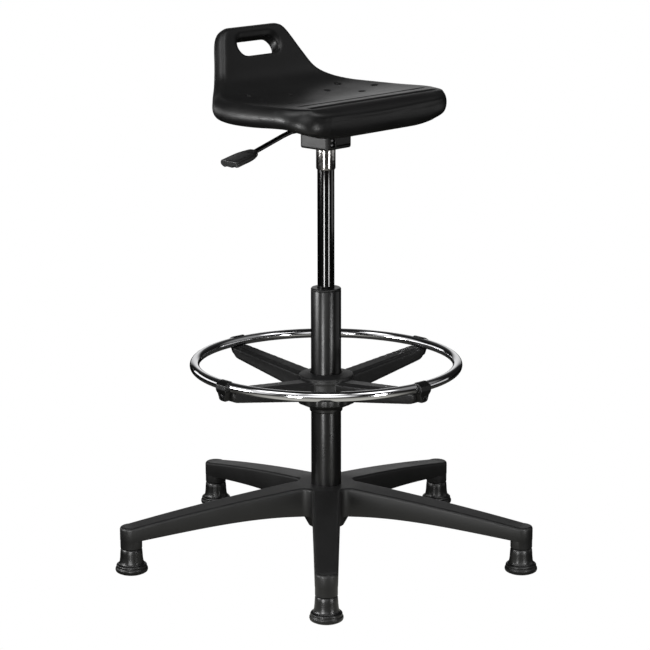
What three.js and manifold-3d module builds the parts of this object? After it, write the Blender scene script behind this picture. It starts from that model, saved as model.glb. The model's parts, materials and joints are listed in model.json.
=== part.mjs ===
// Perch stool with a moulded seat, a gas lift, a five-leg base on glides and a height-adjustable
// foot ring. Millimetres, +Z up. The origin is on the floor, in the middle of the stool's outline.
// The seat faces -Y, and the release lever points to -X, the user's right.

import * as THREE from "three";
import { mergeVertices } from "three/addons/utils/BufferGeometryUtils.js";
import Module from "manifold-3d";

const wasm = await Module();
wasm.setup();

// Gaps
const seatGap = 0.3;            // between pieces that seat on each other
const slideGap = 0.3;           // round a shaft that turns or slides
const cutOverrun = 2;           // how far a cutter runs past the face it cuts

// Base
const legCount = 5;
const legTurn = 6;              // degrees from +X to the first leg
const footReach = 336;          // column axis to the middle of a glide
const legHalfRoot = 23.5;
const legHalfEnd = 18.2;
const legFillet = 14;           // concave corner between two legs
const legEdge = 4.5;            // rounded top edge of a leg
const legTopRootRise = 79.1;    // these rises are above the boss that stands on the glide
const legTopEndRise = 36.6;
const legTopArch = 2.5;
const legUnderRootRise = 30.6;
const legUnderBowRise = 37.6;
const legUnderDipRise = 23.6;
const legUnderEndRise = 13.1;
const legWall = 4.5;
const legRib = 3.5;
const legRibSetback = 5;        // ribs stay this far above the leg's lower edge
const hubWall = 13;
const hubBottomWall = 5;
const hubBottomRise = 7.6;
const hubConeHeight = 15;
const footBossGap = 0.4;        // between the glide's top and the leg's boss

// Glides
const glideHeight = 42;
const glideNeckRadius = 15.2;
const glideWaistRadius = 18.3;
const glideRimRadius = 26.8;
const glideRimHeight = 12;
const glideRimEdge = 3;
const glideShoulder = 20;
const glideSocketDepth = 26;
const soleRadius = 22.5;
const soleThickness = 3;
const soleRecess = 1.6;
const stemRadius = 5.5;
const stemRise = 30;            // length of the stem inside the leg
const stemCollarRadius = 8;
const stemCollarHeight = 2.6;

// Column and gas lift
const columnRadius = 25;
const columnWall = 2;
const columnTop = 452;
const columnBottomRise = 4.6;   // above the same boss
const columnTaper = 1.4;        // how much narrower the lower end is, all in the base hub
const endPlateThickness = 4;
const endPlateRise = 5;
const bushFlange = 3.2;
const bushFlangeEdge = 1.2;
const bushLength = 95;
const liftRadius = 14;          // gas cylinder
const liftWall = 1.8;
const liftTopDrop = 26.7;       // below the seat plate
const liftBottom = 338;
const liftConeLength = 52;
const liftConeDrop = 0.9;
const liftStroke = 190;
const rodRadius = 5;
const rodTop = 372;
const pistonHeight = 14;
const guideHeight = 18;
const clipRadius = 9;
const clipThickness = 1.6;
const bearingRadius = 17;
const bearingHeight = 5;
const bumpRadius = 13;
const bumpHeight = 16;
const valveHeight = 22;
const pinRadius = 3;
const pinRootRadius = 1.6;

// Mechanism
const socketWall = 1.5;
const socketOverlap = 2;        // how far the socket starts below the cone
const socketTopDrop = 19.7;     // this drop and the next are below the seat plate
const housingDrop = 45.5;
const housingHalfAcross = 30.5;
const housingHalfDeep = 30;
const housingWall = 3;
const housingCorner = 5;
const housingEdge = 3.5;          // rounding of its lower edges
const plateUnder = 732.7;
const plateThickness = 3;
const plateHalfAcross = 58;
const plateHalfDeep = 56;
const plateCorner = 12;
const boltInset = 14;           // from the plate's edges
const boltRadius = 3;
const boltHeadRadius = 5.6;
const boltHeadHeight = 4;
const boltReach = 10;
const nutRadius = 5.6;
const boardThickness = 12;
const boardHalfAcross = 112;
const boardHalfDeep = 59;
const boardCorner = 22;

// Lever
const leverDrop = 10.2;         // pivot below the seat plate
const leverRadius = 4;
const leverPivotReach = 21.5;   // pivot to column axis
const leverPivotRadius = 2;
const leverBendReach = 85;      // where the rod turns downward
const leverEndReach = 180;
const leverEndDrop = 26.1;      // rod's end below its pivot
const bladeHalfHeight = 5.4;
const bladeThickness = 7;
const bladeInner = 5;           // how far the blade reaches past the column axis
const bladeOuter = 14;          // how far the blade reaches outward of the pivot
const paddleSocketDepth = 12;   // how far the handle covers the rod
const paddleLength = 59;
const paddleDrop = 12;          // degrees
const paddleHalfNeck = 8;
const paddleHalfEnd = 19;
const paddleHalfThick = 6;
const paddleFlute = 1.6;
const paddleFlutes = 3;

// Seat
const seatDepth = 314;          // nose to the back of the lip
const seatHalfWidth = 190;
const seatRise = 43.3;          // the seat's raised edge above the seat plate
const lipRise = 98;             // lip above the seat's edge
const seatSideRound = 17;
const seatUnderFlat = 85;       // half width of the flat middle of the underside
const grooveShares = [0.229, 0.318];  // of seatDepth, forward of the column axis
const grooveLengthShare = 0.79;
const grooveRadius = 3.2;
const grooveDepth = 2;
const handleRow = 11.75;        // the seat row that the handle hole is centred on
const handleHalfLength = 46;
const handleHalfHeight = 15;
const handleFlare = 6.5;        // rounding of the hole's edges

// Foot ring
const ringHeight = 327;
const ringRadius = 217.4;
const ringTube = 8;
const armCount = 4;
const armTurn = -4.7;           // degrees from +X to the first arm
const armHalfRoot = 18;
const armHalfEnd = 15.5;
const armDeckHalfRoot = 12.5;
const armDeckHalfEnd = 10.5;
const armStep = 3.5;            // deck above the arm's shoulders
const armTopRootDrop = 22;      // these drops are below the middle of the ring's tube
const armTopEndDrop = 5.5;
const armUnderRootDrop = 55;
const armUnderEndDrop = 26.2;
const armHeel = 9;              // rounded lower corner of the arm's end
const armBottomEdge = 3;
const spiderWall = 15;
const spiderTopDrop = 13.8;
const spiderTopSlope = 4;       // how far the hub's top falls to its edge
const spiderLip = 3;
const spiderFloorDrop = 50;
const spiderCoverDrop = 27;     // the hub's cover plate starts here
const colletWall = 5.3;
const colletBottomDrop = 64.5;
const colletSlits = 4;
const colletSlitWidth = 3;
const clampNutWall = 18.4;
const clampNutStraight = 14.5;
const clampNutConeHeight = 9;
const clampNutNeckWall = 2.4;
const clampNutNeckHeight = 6.5;
const clampNutGrips = 16;
const clampNutGripDepth = 1.6;
const jawWidth = 23;
const jawFootWidth = 13;
const jawCorner = 3;
const jawThickness = 6.6;
const jawTopThickness = 1.5;    // where the jaw passes over the ring
const jawFootDrop = 24;
const jawScrewRadius = 2.5;
const jawScrewHead = 4.3;
const jawScrewHeadHeight = 3;
const jawScrewReach = 12;

// Facet counts
const roundSides = 28;
const smallSides = 16;
const stemSides = 12;
const glideSides = 16;
const ringSides = 54;
const tubeSides = 10;

const range = (count) => Array.from({ length: count }, (_, index) => index);
const radians = THREE.MathUtils.degToRad;
const lerp = THREE.MathUtils.lerp;

// Materials
const material = (color, roughness, metalness) => () =>
  new THREE.MeshStandardMaterial({ color, roughness, metalness });
const blackNylon = material(0x1a1a1b, 0.62, 0);
const blackFoam = material(0x161617, 0.5, 0);
const blackEnamel = material(0x101011, 0.38, 0.2);
const chromeSteel = material(0xd9dadc, 0.12, 1);
const greySteel = material(0x8d8f92, 0.35, 0.9);
const blackRubber = material(0x0d0d0d, 0.85, 0);
const whiteAcetal = material(0xd8d6cf, 0.5, 0);
const stainedPly = material(0x2b2622, 0.7, 0);

// Solids

function solidOf(geometry) {
  const plain = geometry.clone();
  plain.deleteAttribute("normal");
  plain.deleteAttribute("uv");
  const welded = mergeVertices(plain);
  const spots = welded.attributes.position;
  const corners = range(3).map(() => new THREE.Vector3());
  let triangles = [];
  let volume = 0;
  for (const first of range(welded.index.count / 3)) {
    const [a, b, c] = range(3).map((step) => welded.index.getX(3 * first + step));
    if (a === b || b === c || c === a) continue;
    triangles.push([a, b, c]);
    [a, b, c].forEach((spot, corner) => corners[corner].fromBufferAttribute(spots, spot));
    volume += corners[0].dot(corners[1].clone().cross(corners[2]));
  }
  if (volume < 0) triangles = triangles.map(([a, b, c]) => [a, c, b]);
  return new wasm.Manifold(new wasm.Mesh({
    numProp: 3,
    vertProperties: new Float32Array(spots.array),
    triVerts: new Uint32Array(triangles.flat()),
  }));
}

function geometryOf(solid) {
  const mesh = solid.getMesh();
  const geometry = new THREE.BufferGeometry();
  geometry.setAttribute("position", new THREE.BufferAttribute(mesh.vertProperties, 3));
  geometry.setIndex(new THREE.BufferAttribute(mesh.triVerts, 1));
  geometry.computeVertexNormals();
  return geometry;
}

// A turned shape about Z from [radius, height] pairs; hollow profiles close on themselves
function turned(profile, sides = roundSides) {
  const points = profile.map(([radius, height]) => new THREE.Vector2(radius, height));
  return new THREE.LatheGeometry(points, sides).rotateX(Math.PI / 2);
}

function turnedSolid(profile, sides = roundSides) {
  return solidOf(turned(profile, sides));
}

function rod(radius, bottom, top, sides = smallSides) {
  return turned([[0, bottom], [radius, bottom], [radius, top], [0, top]], sides);
}

function tube(inner, outer, bottom, top, sides = roundSides) {
  return turned([[inner, bottom], [outer, bottom], [outer, top], [inner, top], [inner, bottom]], sides);
}

function prism(shape, bottom, top, sides = 6) {
  const options = { depth: top - bottom, bevelEnabled: false, curveSegments: sides };
  return new THREE.ExtrudeGeometry(shape, options).translate(0, 0, bottom);
}

function roundedRectangle(halfAcross, halfDeep, corner) {
  const shape = new THREE.Shape();
  const across = halfAcross - corner;
  const deep = halfDeep - corner;
  shape.absarc(across, deep, corner, 0, Math.PI / 2);
  shape.absarc(-across, deep, corner, Math.PI / 2, Math.PI);
  shape.absarc(-across, -deep, corner, Math.PI, 1.5 * Math.PI);
  shape.absarc(across, -deep, corner, 1.5 * Math.PI, 2 * Math.PI);
  return shape;
}

// A box between two corners
function block(low, high) {
  const size = high.map((value, axis) => value - low[axis]);
  const middle = high.map((value, axis) => (value + low[axis]) / 2);
  return new THREE.BoxGeometry(...size).translate(...middle);
}

// Skins a stack of loops that have the same number of points, and closes both ends
function lofted(loops) {
  const count = loops[0].length;
  const spots = loops.flat();
  const faces = [];
  for (const level of range(loops.length - 1)) {
    for (const step of range(count)) {
      const here = level * count + step;
      const next = level * count + (step + 1) % count;
      faces.push([here, next, next + count], [here, next + count, here + count]);
    }
  }
  const capped = [[loops[0], 0, 1], [loops.at(-1), (loops.length - 1) * count, 0]];
  for (const [loop, start, flip] of capped) {
    const middle = spots.length;
    const total = loop.reduce((sum, spot) => sum.add(spot), new THREE.Vector3());
    spots.push(total.divideScalar(count));
    for (const step of range(count)) {
      const here = start + step;
      const next = start + (step + 1) % count;
      faces.push(flip ? [middle, next, here] : [middle, here, next]);
    }
  }
  return meshOf(spots, faces);
}

function meshOf(spots, faces) {
  const geometry = new THREE.BufferGeometry();
  const values = spots.flatMap((spot) => [spot.x, spot.y, spot.z]);
  geometry.setAttribute("position", new THREE.Float32BufferAttribute(values, 3));
  geometry.setIndex(faces.flat());
  return geometry;
}

function bezier([start, first, second, end], share) {
  const rest = 1 - share;
  return rest ** 3 * start + 3 * rest * rest * share * first
    + 3 * rest * share * share * second + share ** 3 * end;
}

// Levels and radii that follow from the sizes above
const footBossBottom = glideHeight + footBossGap;
const columnBottom = footBossBottom + columnBottomRise;
const hubBottom = footBossBottom + hubBottomRise;
const [legTopRoot, legTopEnd] = [legTopRootRise, legTopEndRise].map((rise) => footBossBottom + rise);
const legUnderLevels = [legUnderRootRise, legUnderBowRise, legUnderDipRise, legUnderEndRise]
  .map((rise) => footBossBottom + rise);
const hubRadius = columnRadius + hubWall;
const hubBottomRadius = columnRadius + hubBottomWall;
const liftTop = plateUnder - liftTopDrop;
const socketRadius = liftRadius + seatGap + socketWall;
const socketBottom = liftTop - liftConeLength - socketOverlap;
const socketTop = plateUnder - socketTopDrop;
const housingBottom = plateUnder - housingDrop;
const leverHeight = plateUnder - leverDrop;
const leverEndHeight = leverHeight - leverEndDrop;
const paddleNeckReach = leverEndReach - paddleSocketDepth;
const seatLevel = plateUnder + seatRise;
const spiderTop = ringHeight - spiderTopDrop;
const spiderFloor = ringHeight - spiderFloorDrop;
const spiderCover = ringHeight - spiderCoverDrop;
const colletBottom = ringHeight - colletBottomDrop;
const colletRadius = columnRadius + slideGap + colletWall;
const spiderRadius = colletRadius + slideGap + spiderWall;
const clampNutRadius = colletRadius + clampNutWall;
const clampNutNeck = columnRadius + clampNutNeckWall;
const jawFoot = ringHeight - jawFootDrop;

// The stool stands with the middle of its outline over the origin
const footAngles = range(legCount).map((leg) => radians(legTurn + leg * 360 / legCount));
const middleOf = (values) => (Math.max(...values) + Math.min(...values)) / 2;
const stool = new THREE.Group();
stool.position.set(
  -footReach * middleOf(footAngles.map(Math.cos)),
  -footReach * middleOf(footAngles.map(Math.sin)),
  0,
);

function addPart(name, shape, finish, parent = stool) {
  const geometry = shape.isBufferGeometry ? geometryOf(solidOf(shape)) : geometryOf(shape);
  const mesh = new THREE.Mesh(geometry, finish());
  mesh.name = name;
  parent.add(mesh);
  return mesh;
}

// Five-leg base

const legRoot = (legHalfRoot + legFillet) / Math.tan(Math.PI / legCount);
const legSteps = 5;
const legEndSteps = 6;
const legCornerSteps = 4;
const legEdgeSteps = 2;

const legTopAt = (share) => lerp(legTopRoot, legTopEnd, share) + legTopArch * 4 * share * (1 - share);
const legUnderAt = (share) => bezier(legUnderLevels, share);
const legHalfAt = (share) => lerp(legHalfRoot, legHalfEnd, share);

// The outline of all five legs, drawn in by inset. Each leg is flat across, so its points take
// their height from their place along the leg.
function starLoop(inset, heightAt) {
  const loop = [];
  for (const angle of footAngles) {
    const place = (along, across, share) => {
      const x = along * Math.cos(angle) - across * Math.sin(angle);
      const y = along * Math.sin(angle) + across * Math.cos(angle);
      loop.push(new THREE.Vector3(x, y, heightAt(share)));
    };
    const side = (step, sign) => {
      const share = step / legSteps;
      place(lerp(legRoot, footReach, share), sign * (legHalfAt(share) - inset), share);
    };
    range(legSteps + 1).forEach((step) => side(step, -1));
    for (const step of range(legEndSteps - 1)) {
      const turn = Math.PI * ((step + 1) / legEndSteps - 0.5);
      const radius = legHalfEnd - inset;
      place(footReach + radius * Math.cos(turn), radius * Math.sin(turn), 1);
    }
    range(legSteps + 1).forEach((step) => side(legSteps - step, 1));
    const cornerMiddle = (legHalfRoot + legFillet) / Math.sin(Math.PI / legCount);
    const half = Math.PI / legCount;
    for (const step of range(legCornerSteps - 1)) {
      const sweep = Math.PI - 2 * half;
      const turn = Math.PI + half + sweep * (0.5 - (step + 1) / legCornerSteps);
      const radius = legFillet + inset;
      const along = cornerMiddle * Math.cos(half) + radius * Math.cos(turn);
      const across = cornerMiddle * Math.sin(half) + radius * Math.sin(turn);
      place(along, across, 0);
    }
  }
  return loop;
}

// Skins star loops; each cap runs across the legs, point to facing point, with a fan at the hub
function starLoft(loops) {
  const count = loops[0].length;
  const spots = loops.flat();
  const faces = [];
  for (const level of range(loops.length - 1)) {
    for (const step of range(count)) {
      const here = level * count + step;
      const next = level * count + (step + 1) % count;
      faces.push([here, next, next + count], [here, next + count, here + count]);
    }
  }
  const perLeg = count / legCount;
  const ends = 2 * legSteps + legEndSteps;
  const cap = (start, flip) => {
    const push = (a, b, c) => faces.push(flip ? [start + a, start + c, start + b] : [start + a, start + b, start + c]);
    const centre = spots.length;
    spots.push(new THREE.Vector3(0, 0, spots[start].z));
    for (const leg of range(legCount)) {
      const first = leg * perLeg;
      for (const step of range(ends / 2)) {
        const [right, left] = [first + step, first + ends - step];
        if (left - right > 2) push(right + 1, left - 1, left);
        push(right, right + 1, left);
      }
      push(centre - start, first, first + ends);
      for (const step of range(legCornerSteps)) {
        const here = first + ends + step;
        push(centre - start, here, (here + 1) % count);
      }
    }
  };
  cap(0, true);
  cap((loops.length - 1) * count, false);
  return meshOf(spots, faces);
}

function makeBase() {
  const softEdge = (share) => [legEdge * (1 - Math.cos(share * Math.PI / 2)), legEdge * (1 - Math.sin(share * Math.PI / 2))];
  const loops = [starLoop(0, legUnderAt)];
  for (const step of range(legEdgeSteps + 1)) {
    const [inset, drop] = softEdge(step / legEdgeSteps);
    loops.push(starLoop(inset, (share) => legTopAt(share) - drop));
  }
  const pocket = starLoft([
    starLoop(legWall, (share) => legUnderAt(share) - cutOverrun),
    starLoop(legWall, (share) => legTopAt(share) - legWall),
  ]);
  let base = solidOf(starLoft(loops)).subtract(solidOf(pocket));

  // A rib runs down the middle of each leg's hollow, with short ribs across it
  const ribOutline = new THREE.Shape();
  const ribSteps = range(legSteps + 1).map((step) => step / legSteps);
  const alongAt = (share) => lerp(legRoot, footReach, share);
  const lower = (share) => legUnderAt(share) + legRibSetback;
  ribOutline.moveTo(alongAt(0), lower(0));
  ribSteps.slice(1).forEach((share) => ribOutline.lineTo(alongAt(share), lower(share)));
  ribSteps.toReversed().forEach((share) => ribOutline.lineTo(alongAt(share), legTopAt(share) - legWall / 2));
  const rib = prism(ribOutline, -legRib / 2, legRib / 2).rotateX(Math.PI / 2);
  const crossShares = [0.3, 0.6];
  for (const angle of footAngles) {
    base = base.add(solidOf(rib.clone().rotateZ(angle)));
    for (const share of crossShares) {
      const along = alongAt(share);
      const half = legHalfAt(share) - legWall / 2;
      const cross = block(
        [along - legRib / 2, -half, lower(share)],
        [along + legRib / 2, half, legTopAt(share) - legWall / 2],
      );
      base = base.add(solidOf(cross.rotateZ(angle)));
    }
    const boss = rod(legHalfEnd, footBossBottom, legTopEnd - legWall / 2, glideSides);
    base = base.add(solidOf(boss.translate(footReach, 0, 0).rotateZ(angle)));
  }
  const hub = turnedSolid([
    [0, hubBottom],
    [hubBottomRadius, hubBottom],
    [hubRadius, hubBottom + hubConeHeight],
    [hubRadius, legTopRoot - legWall / 2],
    [0, legTopRoot - legWall / 2],
  ]);
  base = base.add(hub);

  const boreTop = legTopRoot;
  base = base.subtract(turnedSolid([
    [0, hubBottom - cutOverrun],
    [columnRadius - columnTaper + seatGap, hubBottom - cutOverrun],
    [columnRadius + seatGap, boreTop - legWall],
    [columnRadius + seatGap, boreTop + cutOverrun],
    [0, boreTop + cutOverrun],
  ]));
  for (const angle of footAngles) {
    const hole = rod(stemRadius + seatGap, footBossBottom - cutOverrun, footBossBottom + stemRise + seatGap);
    base = base.subtract(solidOf(hole.translate(footReach, 0, 0).rotateZ(angle)));
  }
  addPart("base_star", base, blackNylon);
}

// Glides: a steel stem pressed in the leg, a swivelling foot and a soft sole

function makeGlide(number, angle) {
  const foot = new THREE.Group();
  foot.position.set(footReach * Math.cos(angle), footReach * Math.sin(angle), 0);
  stool.add(foot);

  const stemBottom = glideHeight - glideSocketDepth + seatGap;
  const collarBottom = glideHeight - stemCollarHeight;
  addPart(`glide_stem_${number}`, turned([
    [0, stemBottom],
    [stemRadius, stemBottom],
    [stemRadius, collarBottom],
    [stemCollarRadius, collarBottom],
    [stemCollarRadius, footBossBottom - seatGap],
    [stemRadius, footBossBottom - seatGap],
    [stemRadius, footBossBottom + stemRise],
    [0, footBossBottom + stemRise],
  ], stemSides), greySteel, foot);

  const socket = stemRadius + slideGap;
  const collar = stemCollarRadius + slideGap;
  addPart(`glide_foot_${number}`, turned([
    [0, soleRecess + soleThickness],
    [soleRadius + seatGap, soleRecess + soleThickness],
    [soleRadius + seatGap, soleRecess],
    [glideRimRadius - glideRimEdge, soleRecess],
    [glideRimRadius, soleRecess + glideRimEdge],
    [glideRimRadius, glideRimHeight],
    [glideRimRadius - glideRimEdge, glideRimHeight + glideRimEdge],
    [glideWaistRadius + glideRimEdge, glideRimHeight + glideRimEdge],
    [glideWaistRadius, glideShoulder],
    [glideWaistRadius - glideRimEdge / 2, glideHeight - glideRimEdge],
    [glideNeckRadius, glideHeight],
    [collar, glideHeight],
    [collar, collarBottom - slideGap],
    [socket, collarBottom - slideGap],
    [socket, glideHeight - glideSocketDepth],
    [0, glideHeight - glideSocketDepth],
  ], glideSides), blackNylon, foot);

  addPart(`glide_sole_${number}`, turned([
    [0, 0],
    [soleRadius - soleRecess, 0],
    [soleRadius, soleRecess],
    [soleRadius, soleRecess + soleThickness - seatGap],
    [0, soleRecess + soleThickness - seatGap],
  ], glideSides), blackRubber, foot);
}

// Column and gas lift

function makeColumn() {
  const inner = columnRadius - columnWall;
  const lowOuter = columnRadius - columnTaper;
  const taperTop = legTopRoot - legWall;
  addPart("column_tube", turned([
    [lowOuter - columnWall, columnBottom],
    [lowOuter, columnBottom],
    [columnRadius, taperTop],
    [columnRadius, columnTop],
    [inner, columnTop],
    [inner, taperTop],
    [lowOuter - columnWall, columnBottom],
  ]), blackEnamel);

  const plateBottom = columnBottom + endPlateRise;
  const plateTop = plateBottom + endPlateThickness;
  const plateRadius = lowOuter - columnWall - seatGap;
  addPart("column_end_plate", tube(rodRadius + slideGap, plateRadius, plateBottom, plateTop, smallSides), greySteel);

  const bushBore = liftRadius + slideGap;
  const bushOuter = inner - seatGap;
  const flangeBottom = columnTop + seatGap;
  addPart("guide_bush", turned([
    [bushBore, columnTop - bushLength],
    [bushOuter, columnTop - bushLength],
    [bushOuter, flangeBottom],
    [columnRadius, flangeBottom],
    [columnRadius, flangeBottom + bushFlange - bushFlangeEdge],
    [columnRadius - bushFlangeEdge, flangeBottom + bushFlange],
    [bushBore, flangeBottom + bushFlange],
    [bushBore, columnTop - bushLength],
  ]), blackNylon);

  // The piston rod hangs through the end plate on its clip and turns with the seat
  const clipTop = plateBottom - seatGap;
  addPart("piston_rod", rod(rodRadius, columnBottom + endPlateRise / 5, rodTop), chromeSteel);
  addPart("retaining_clip", tube(rodRadius + seatGap, clipRadius, clipTop - clipThickness, clipTop, smallSides), greySteel);
  const bearingBottom = plateTop + slideGap;
  const bearingTop = bearingBottom + bearingHeight;
  addPart("thrust_bearing", turned([
    [rodRadius + seatGap, bearingBottom],
    [bearingRadius, bearingBottom],
    [bearingRadius, bearingBottom + bearingHeight / 3],
    [bearingRadius - bearingHeight / 5, bearingBottom + bearingHeight / 2],
    [bearingRadius, bearingTop - bearingHeight / 3],
    [bearingRadius, bearingTop],
    [rodRadius + seatGap, bearingTop],
    [rodRadius + seatGap, bearingBottom],
  ], smallSides), greySteel);
  const bumpBottom = bearingTop + seatGap;
  addPart("bump_stop", tube(rodRadius + seatGap, bumpRadius, bumpBottom, bumpBottom + bumpHeight, smallSides), blackRubber);

  const boreRadius = liftRadius - liftWall;
  const pistonBottom = rodTop + seatGap;
  const ring = boreRadius - slideGap;
  addPart("piston_head", turned([
    [0, pistonBottom],
    [ring, pistonBottom],
    [ring, pistonBottom + pistonHeight / 3],
    [ring - liftWall, pistonBottom + pistonHeight / 3],
    [ring - liftWall, pistonBottom + 2 * pistonHeight / 3],
    [ring, pistonBottom + 2 * pistonHeight / 3],
    [ring, pistonBottom + pistonHeight],
    [0, pistonBottom + pistonHeight],
  ], smallSides), greySteel);
}

function makeLift() {
  const boreRadius = liftRadius - liftWall;
  const coneBottom = liftTop - liftConeLength;
  const topWall = 2 * liftWall;
  addPart("gas_cylinder", turned([
    [boreRadius, liftBottom],
    [liftRadius, liftBottom],
    [liftRadius, coneBottom],
    [liftRadius - liftConeDrop, liftTop],
    [pinRadius + slideGap, liftTop],
    [pinRadius + slideGap, liftTop - topWall],
    [boreRadius - liftConeDrop, liftTop - topWall],
    [boreRadius, coneBottom],
    [boreRadius, liftBottom],
  ]), blackEnamel);
  const guideBottom = liftBottom + liftWall;
  const guideTop = guideBottom + guideHeight;
  const guide = tube(rodRadius + slideGap, boreRadius - seatGap, guideBottom, guideTop, smallSides);
  addPart("rod_guide", guide, blackNylon);
  const valveTop = liftTop - topWall - seatGap;
  const valveRadius = boreRadius - liftConeDrop - seatGap;
  const valve = tube(pinRadius + slideGap, valveRadius, valveTop - valveHeight, valveTop, smallSides);
  addPart("valve_body", valve, whiteAcetal);

  const pinTop = leverHeight - bladeHalfHeight - seatGap;
  const pinBottom = valveTop - valveHeight;
  addPart("release_pin", turned([
    [0, pinBottom],
    [pinRadius, pinBottom],
    [pinRadius, pinTop - pinRootRadius],
    [pinRootRadius, pinTop - seatGap],
    [0, pinTop],
  ], smallSides), chromeSteel);

  addPart("taper_socket", turned([
    [liftRadius + seatGap, socketBottom],
    [socketRadius, socketBottom],
    [socketRadius, socketTop],
    [pinRadius + liftRadius / 2, socketTop],
    [pinRadius + liftRadius / 2, liftTop + seatGap],
    [liftRadius - liftConeDrop + seatGap, liftTop + seatGap],
    [liftRadius + seatGap, coneBottom],
    [liftRadius + seatGap, socketBottom],
  ]), chromeSteel);
}

// Mechanism

function makeHousing() {
  const housingTop = plateUnder - seatGap;
  const outerLoop = (share, height) => {
    const inset = housingEdge * (1 - Math.sin(share * Math.PI / 2));
    const sides = [housingHalfAcross - inset, housingHalfDeep - inset, housingCorner - inset];
    return roundedRectangle(...sides).getPoints(2).map(({ x, y }) => new THREE.Vector3(x, y, height));
  };
  const edgeShares = [0, 1 / 3, 2 / 3, 1];
  const edgeLoops = edgeShares.map((share) =>
    outerLoop(share, housingBottom + housingEdge * (1 - Math.cos(share * Math.PI / 2))));
  const inner = roundedRectangle(
    housingHalfAcross - housingWall,
    housingHalfDeep - housingWall,
    housingCorner - housingWall / 2,
  );
  const frontFace = -housingHalfDeep;
  let housing = solidOf(lofted([...edgeLoops, outerLoop(1, housingTop)]));
  housing = housing.subtract(solidOf(prism(inner, housingBottom + housingWall, housingTop + cutOverrun, 2)));
  const socketHole = rod(socketRadius + seatGap, housingBottom - cutOverrun, socketTop, roundSides);
  housing = housing.subtract(solidOf(socketHole));

  // The front wall has a shallow panel and a window beside it
  const sill = housingBottom + housingWall + housingCorner / 2;
  const panelTop = leverHeight - 2 * bladeHalfHeight;
  const windowEdge = -housingHalfAcross / 3;
  housing = housing.subtract(solidOf(block(
    [windowEdge + housingWall, frontFace - cutOverrun, sill],
    [housingHalfAcross - housingWall, frontFace + housingWall / 2, panelTop],
  )));
  housing = housing.subtract(solidOf(block(
    [-0.7 * housingHalfAcross, frontFace - cutOverrun, sill],
    [windowEdge, frontFace + housingWall + cutOverrun, panelTop],
  )));

  // The lever leaves through a slot in the side wall, and its pivot pin sits in both end walls
  housing = housing.subtract(solidOf(block(
    [-housingHalfAcross - cutOverrun, -bladeThickness, leverHeight - 1.5 * leverRadius],
    [-housingHalfAcross + housingWall + cutOverrun, bladeThickness, leverHeight + 1.8 * leverRadius],
  )));
  const pinHole = rod(leverPivotRadius + seatGap, -housingHalfDeep - cutOverrun, housingHalfDeep + cutOverrun);
  housing = housing.subtract(solidOf(pinHole.rotateX(Math.PI / 2).translate(-leverPivotReach, 0, leverHeight)));
  addPart("mechanism_housing", housing, blackEnamel);

  const pivot = rod(leverPivotRadius, -housingHalfDeep, housingHalfDeep);
  addPart("lever_pivot_pin", pivot.rotateX(Math.PI / 2).translate(-leverPivotReach, 0, leverHeight), greySteel);
}

const boltSpots = [[1, 1], [-1, 1], [-1, -1], [1, -1]].map(([x, y]) => [
  x * (plateHalfAcross - boltInset),
  y * (plateHalfDeep - boltInset),
]);
const boardUnder = plateUnder + plateThickness + 2 * seatGap;

function makeSeatMounting() {
  let plate = solidOf(prism(
    roundedRectangle(plateHalfAcross, plateHalfDeep, plateCorner),
    plateUnder,
    plateUnder + plateThickness,
    3,
  ));
  let board = solidOf(prism(
    roundedRectangle(boardHalfAcross, boardHalfDeep, boardCorner),
    boardUnder,
    boardUnder + boardThickness,
    3,
  ));
  const boltTop = boardUnder + boltReach;
  boltSpots.forEach(([x, y], spot) => {
    const hole = rod(boltRadius + seatGap, plateUnder - cutOverrun, boardUnder);
    plate = plate.subtract(solidOf(hole.translate(x, y, 0)));
    const nutHole = rod(nutRadius + seatGap, boardUnder - cutOverrun, boardUnder + boardThickness + cutOverrun);
    board = board.subtract(solidOf(nutHole.translate(x, y, 0)));

    const nut = tube(boltRadius + seatGap, nutRadius, boardUnder, boardUnder + boardThickness, smallSides);
    addPart(`insert_nut_${spot + 1}`, nut.translate(x, y, 0), greySteel);
    const headTop = plateUnder - seatGap;
    const shank = solidOf(rod(boltRadius, headTop - boltHeadHeight / 2, boltTop, smallSides));
    const head = solidOf(rod(boltHeadRadius, headTop - boltHeadHeight, headTop, 6));
    addPart(`seat_screw_${spot + 1}`, shank.add(head).translate([x, y, 0]), greySteel);
  });
  addPart("seat_plate", plate, blackEnamel);
  addPart("seat_board", board, stainedPly);
}

// Lever

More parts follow.
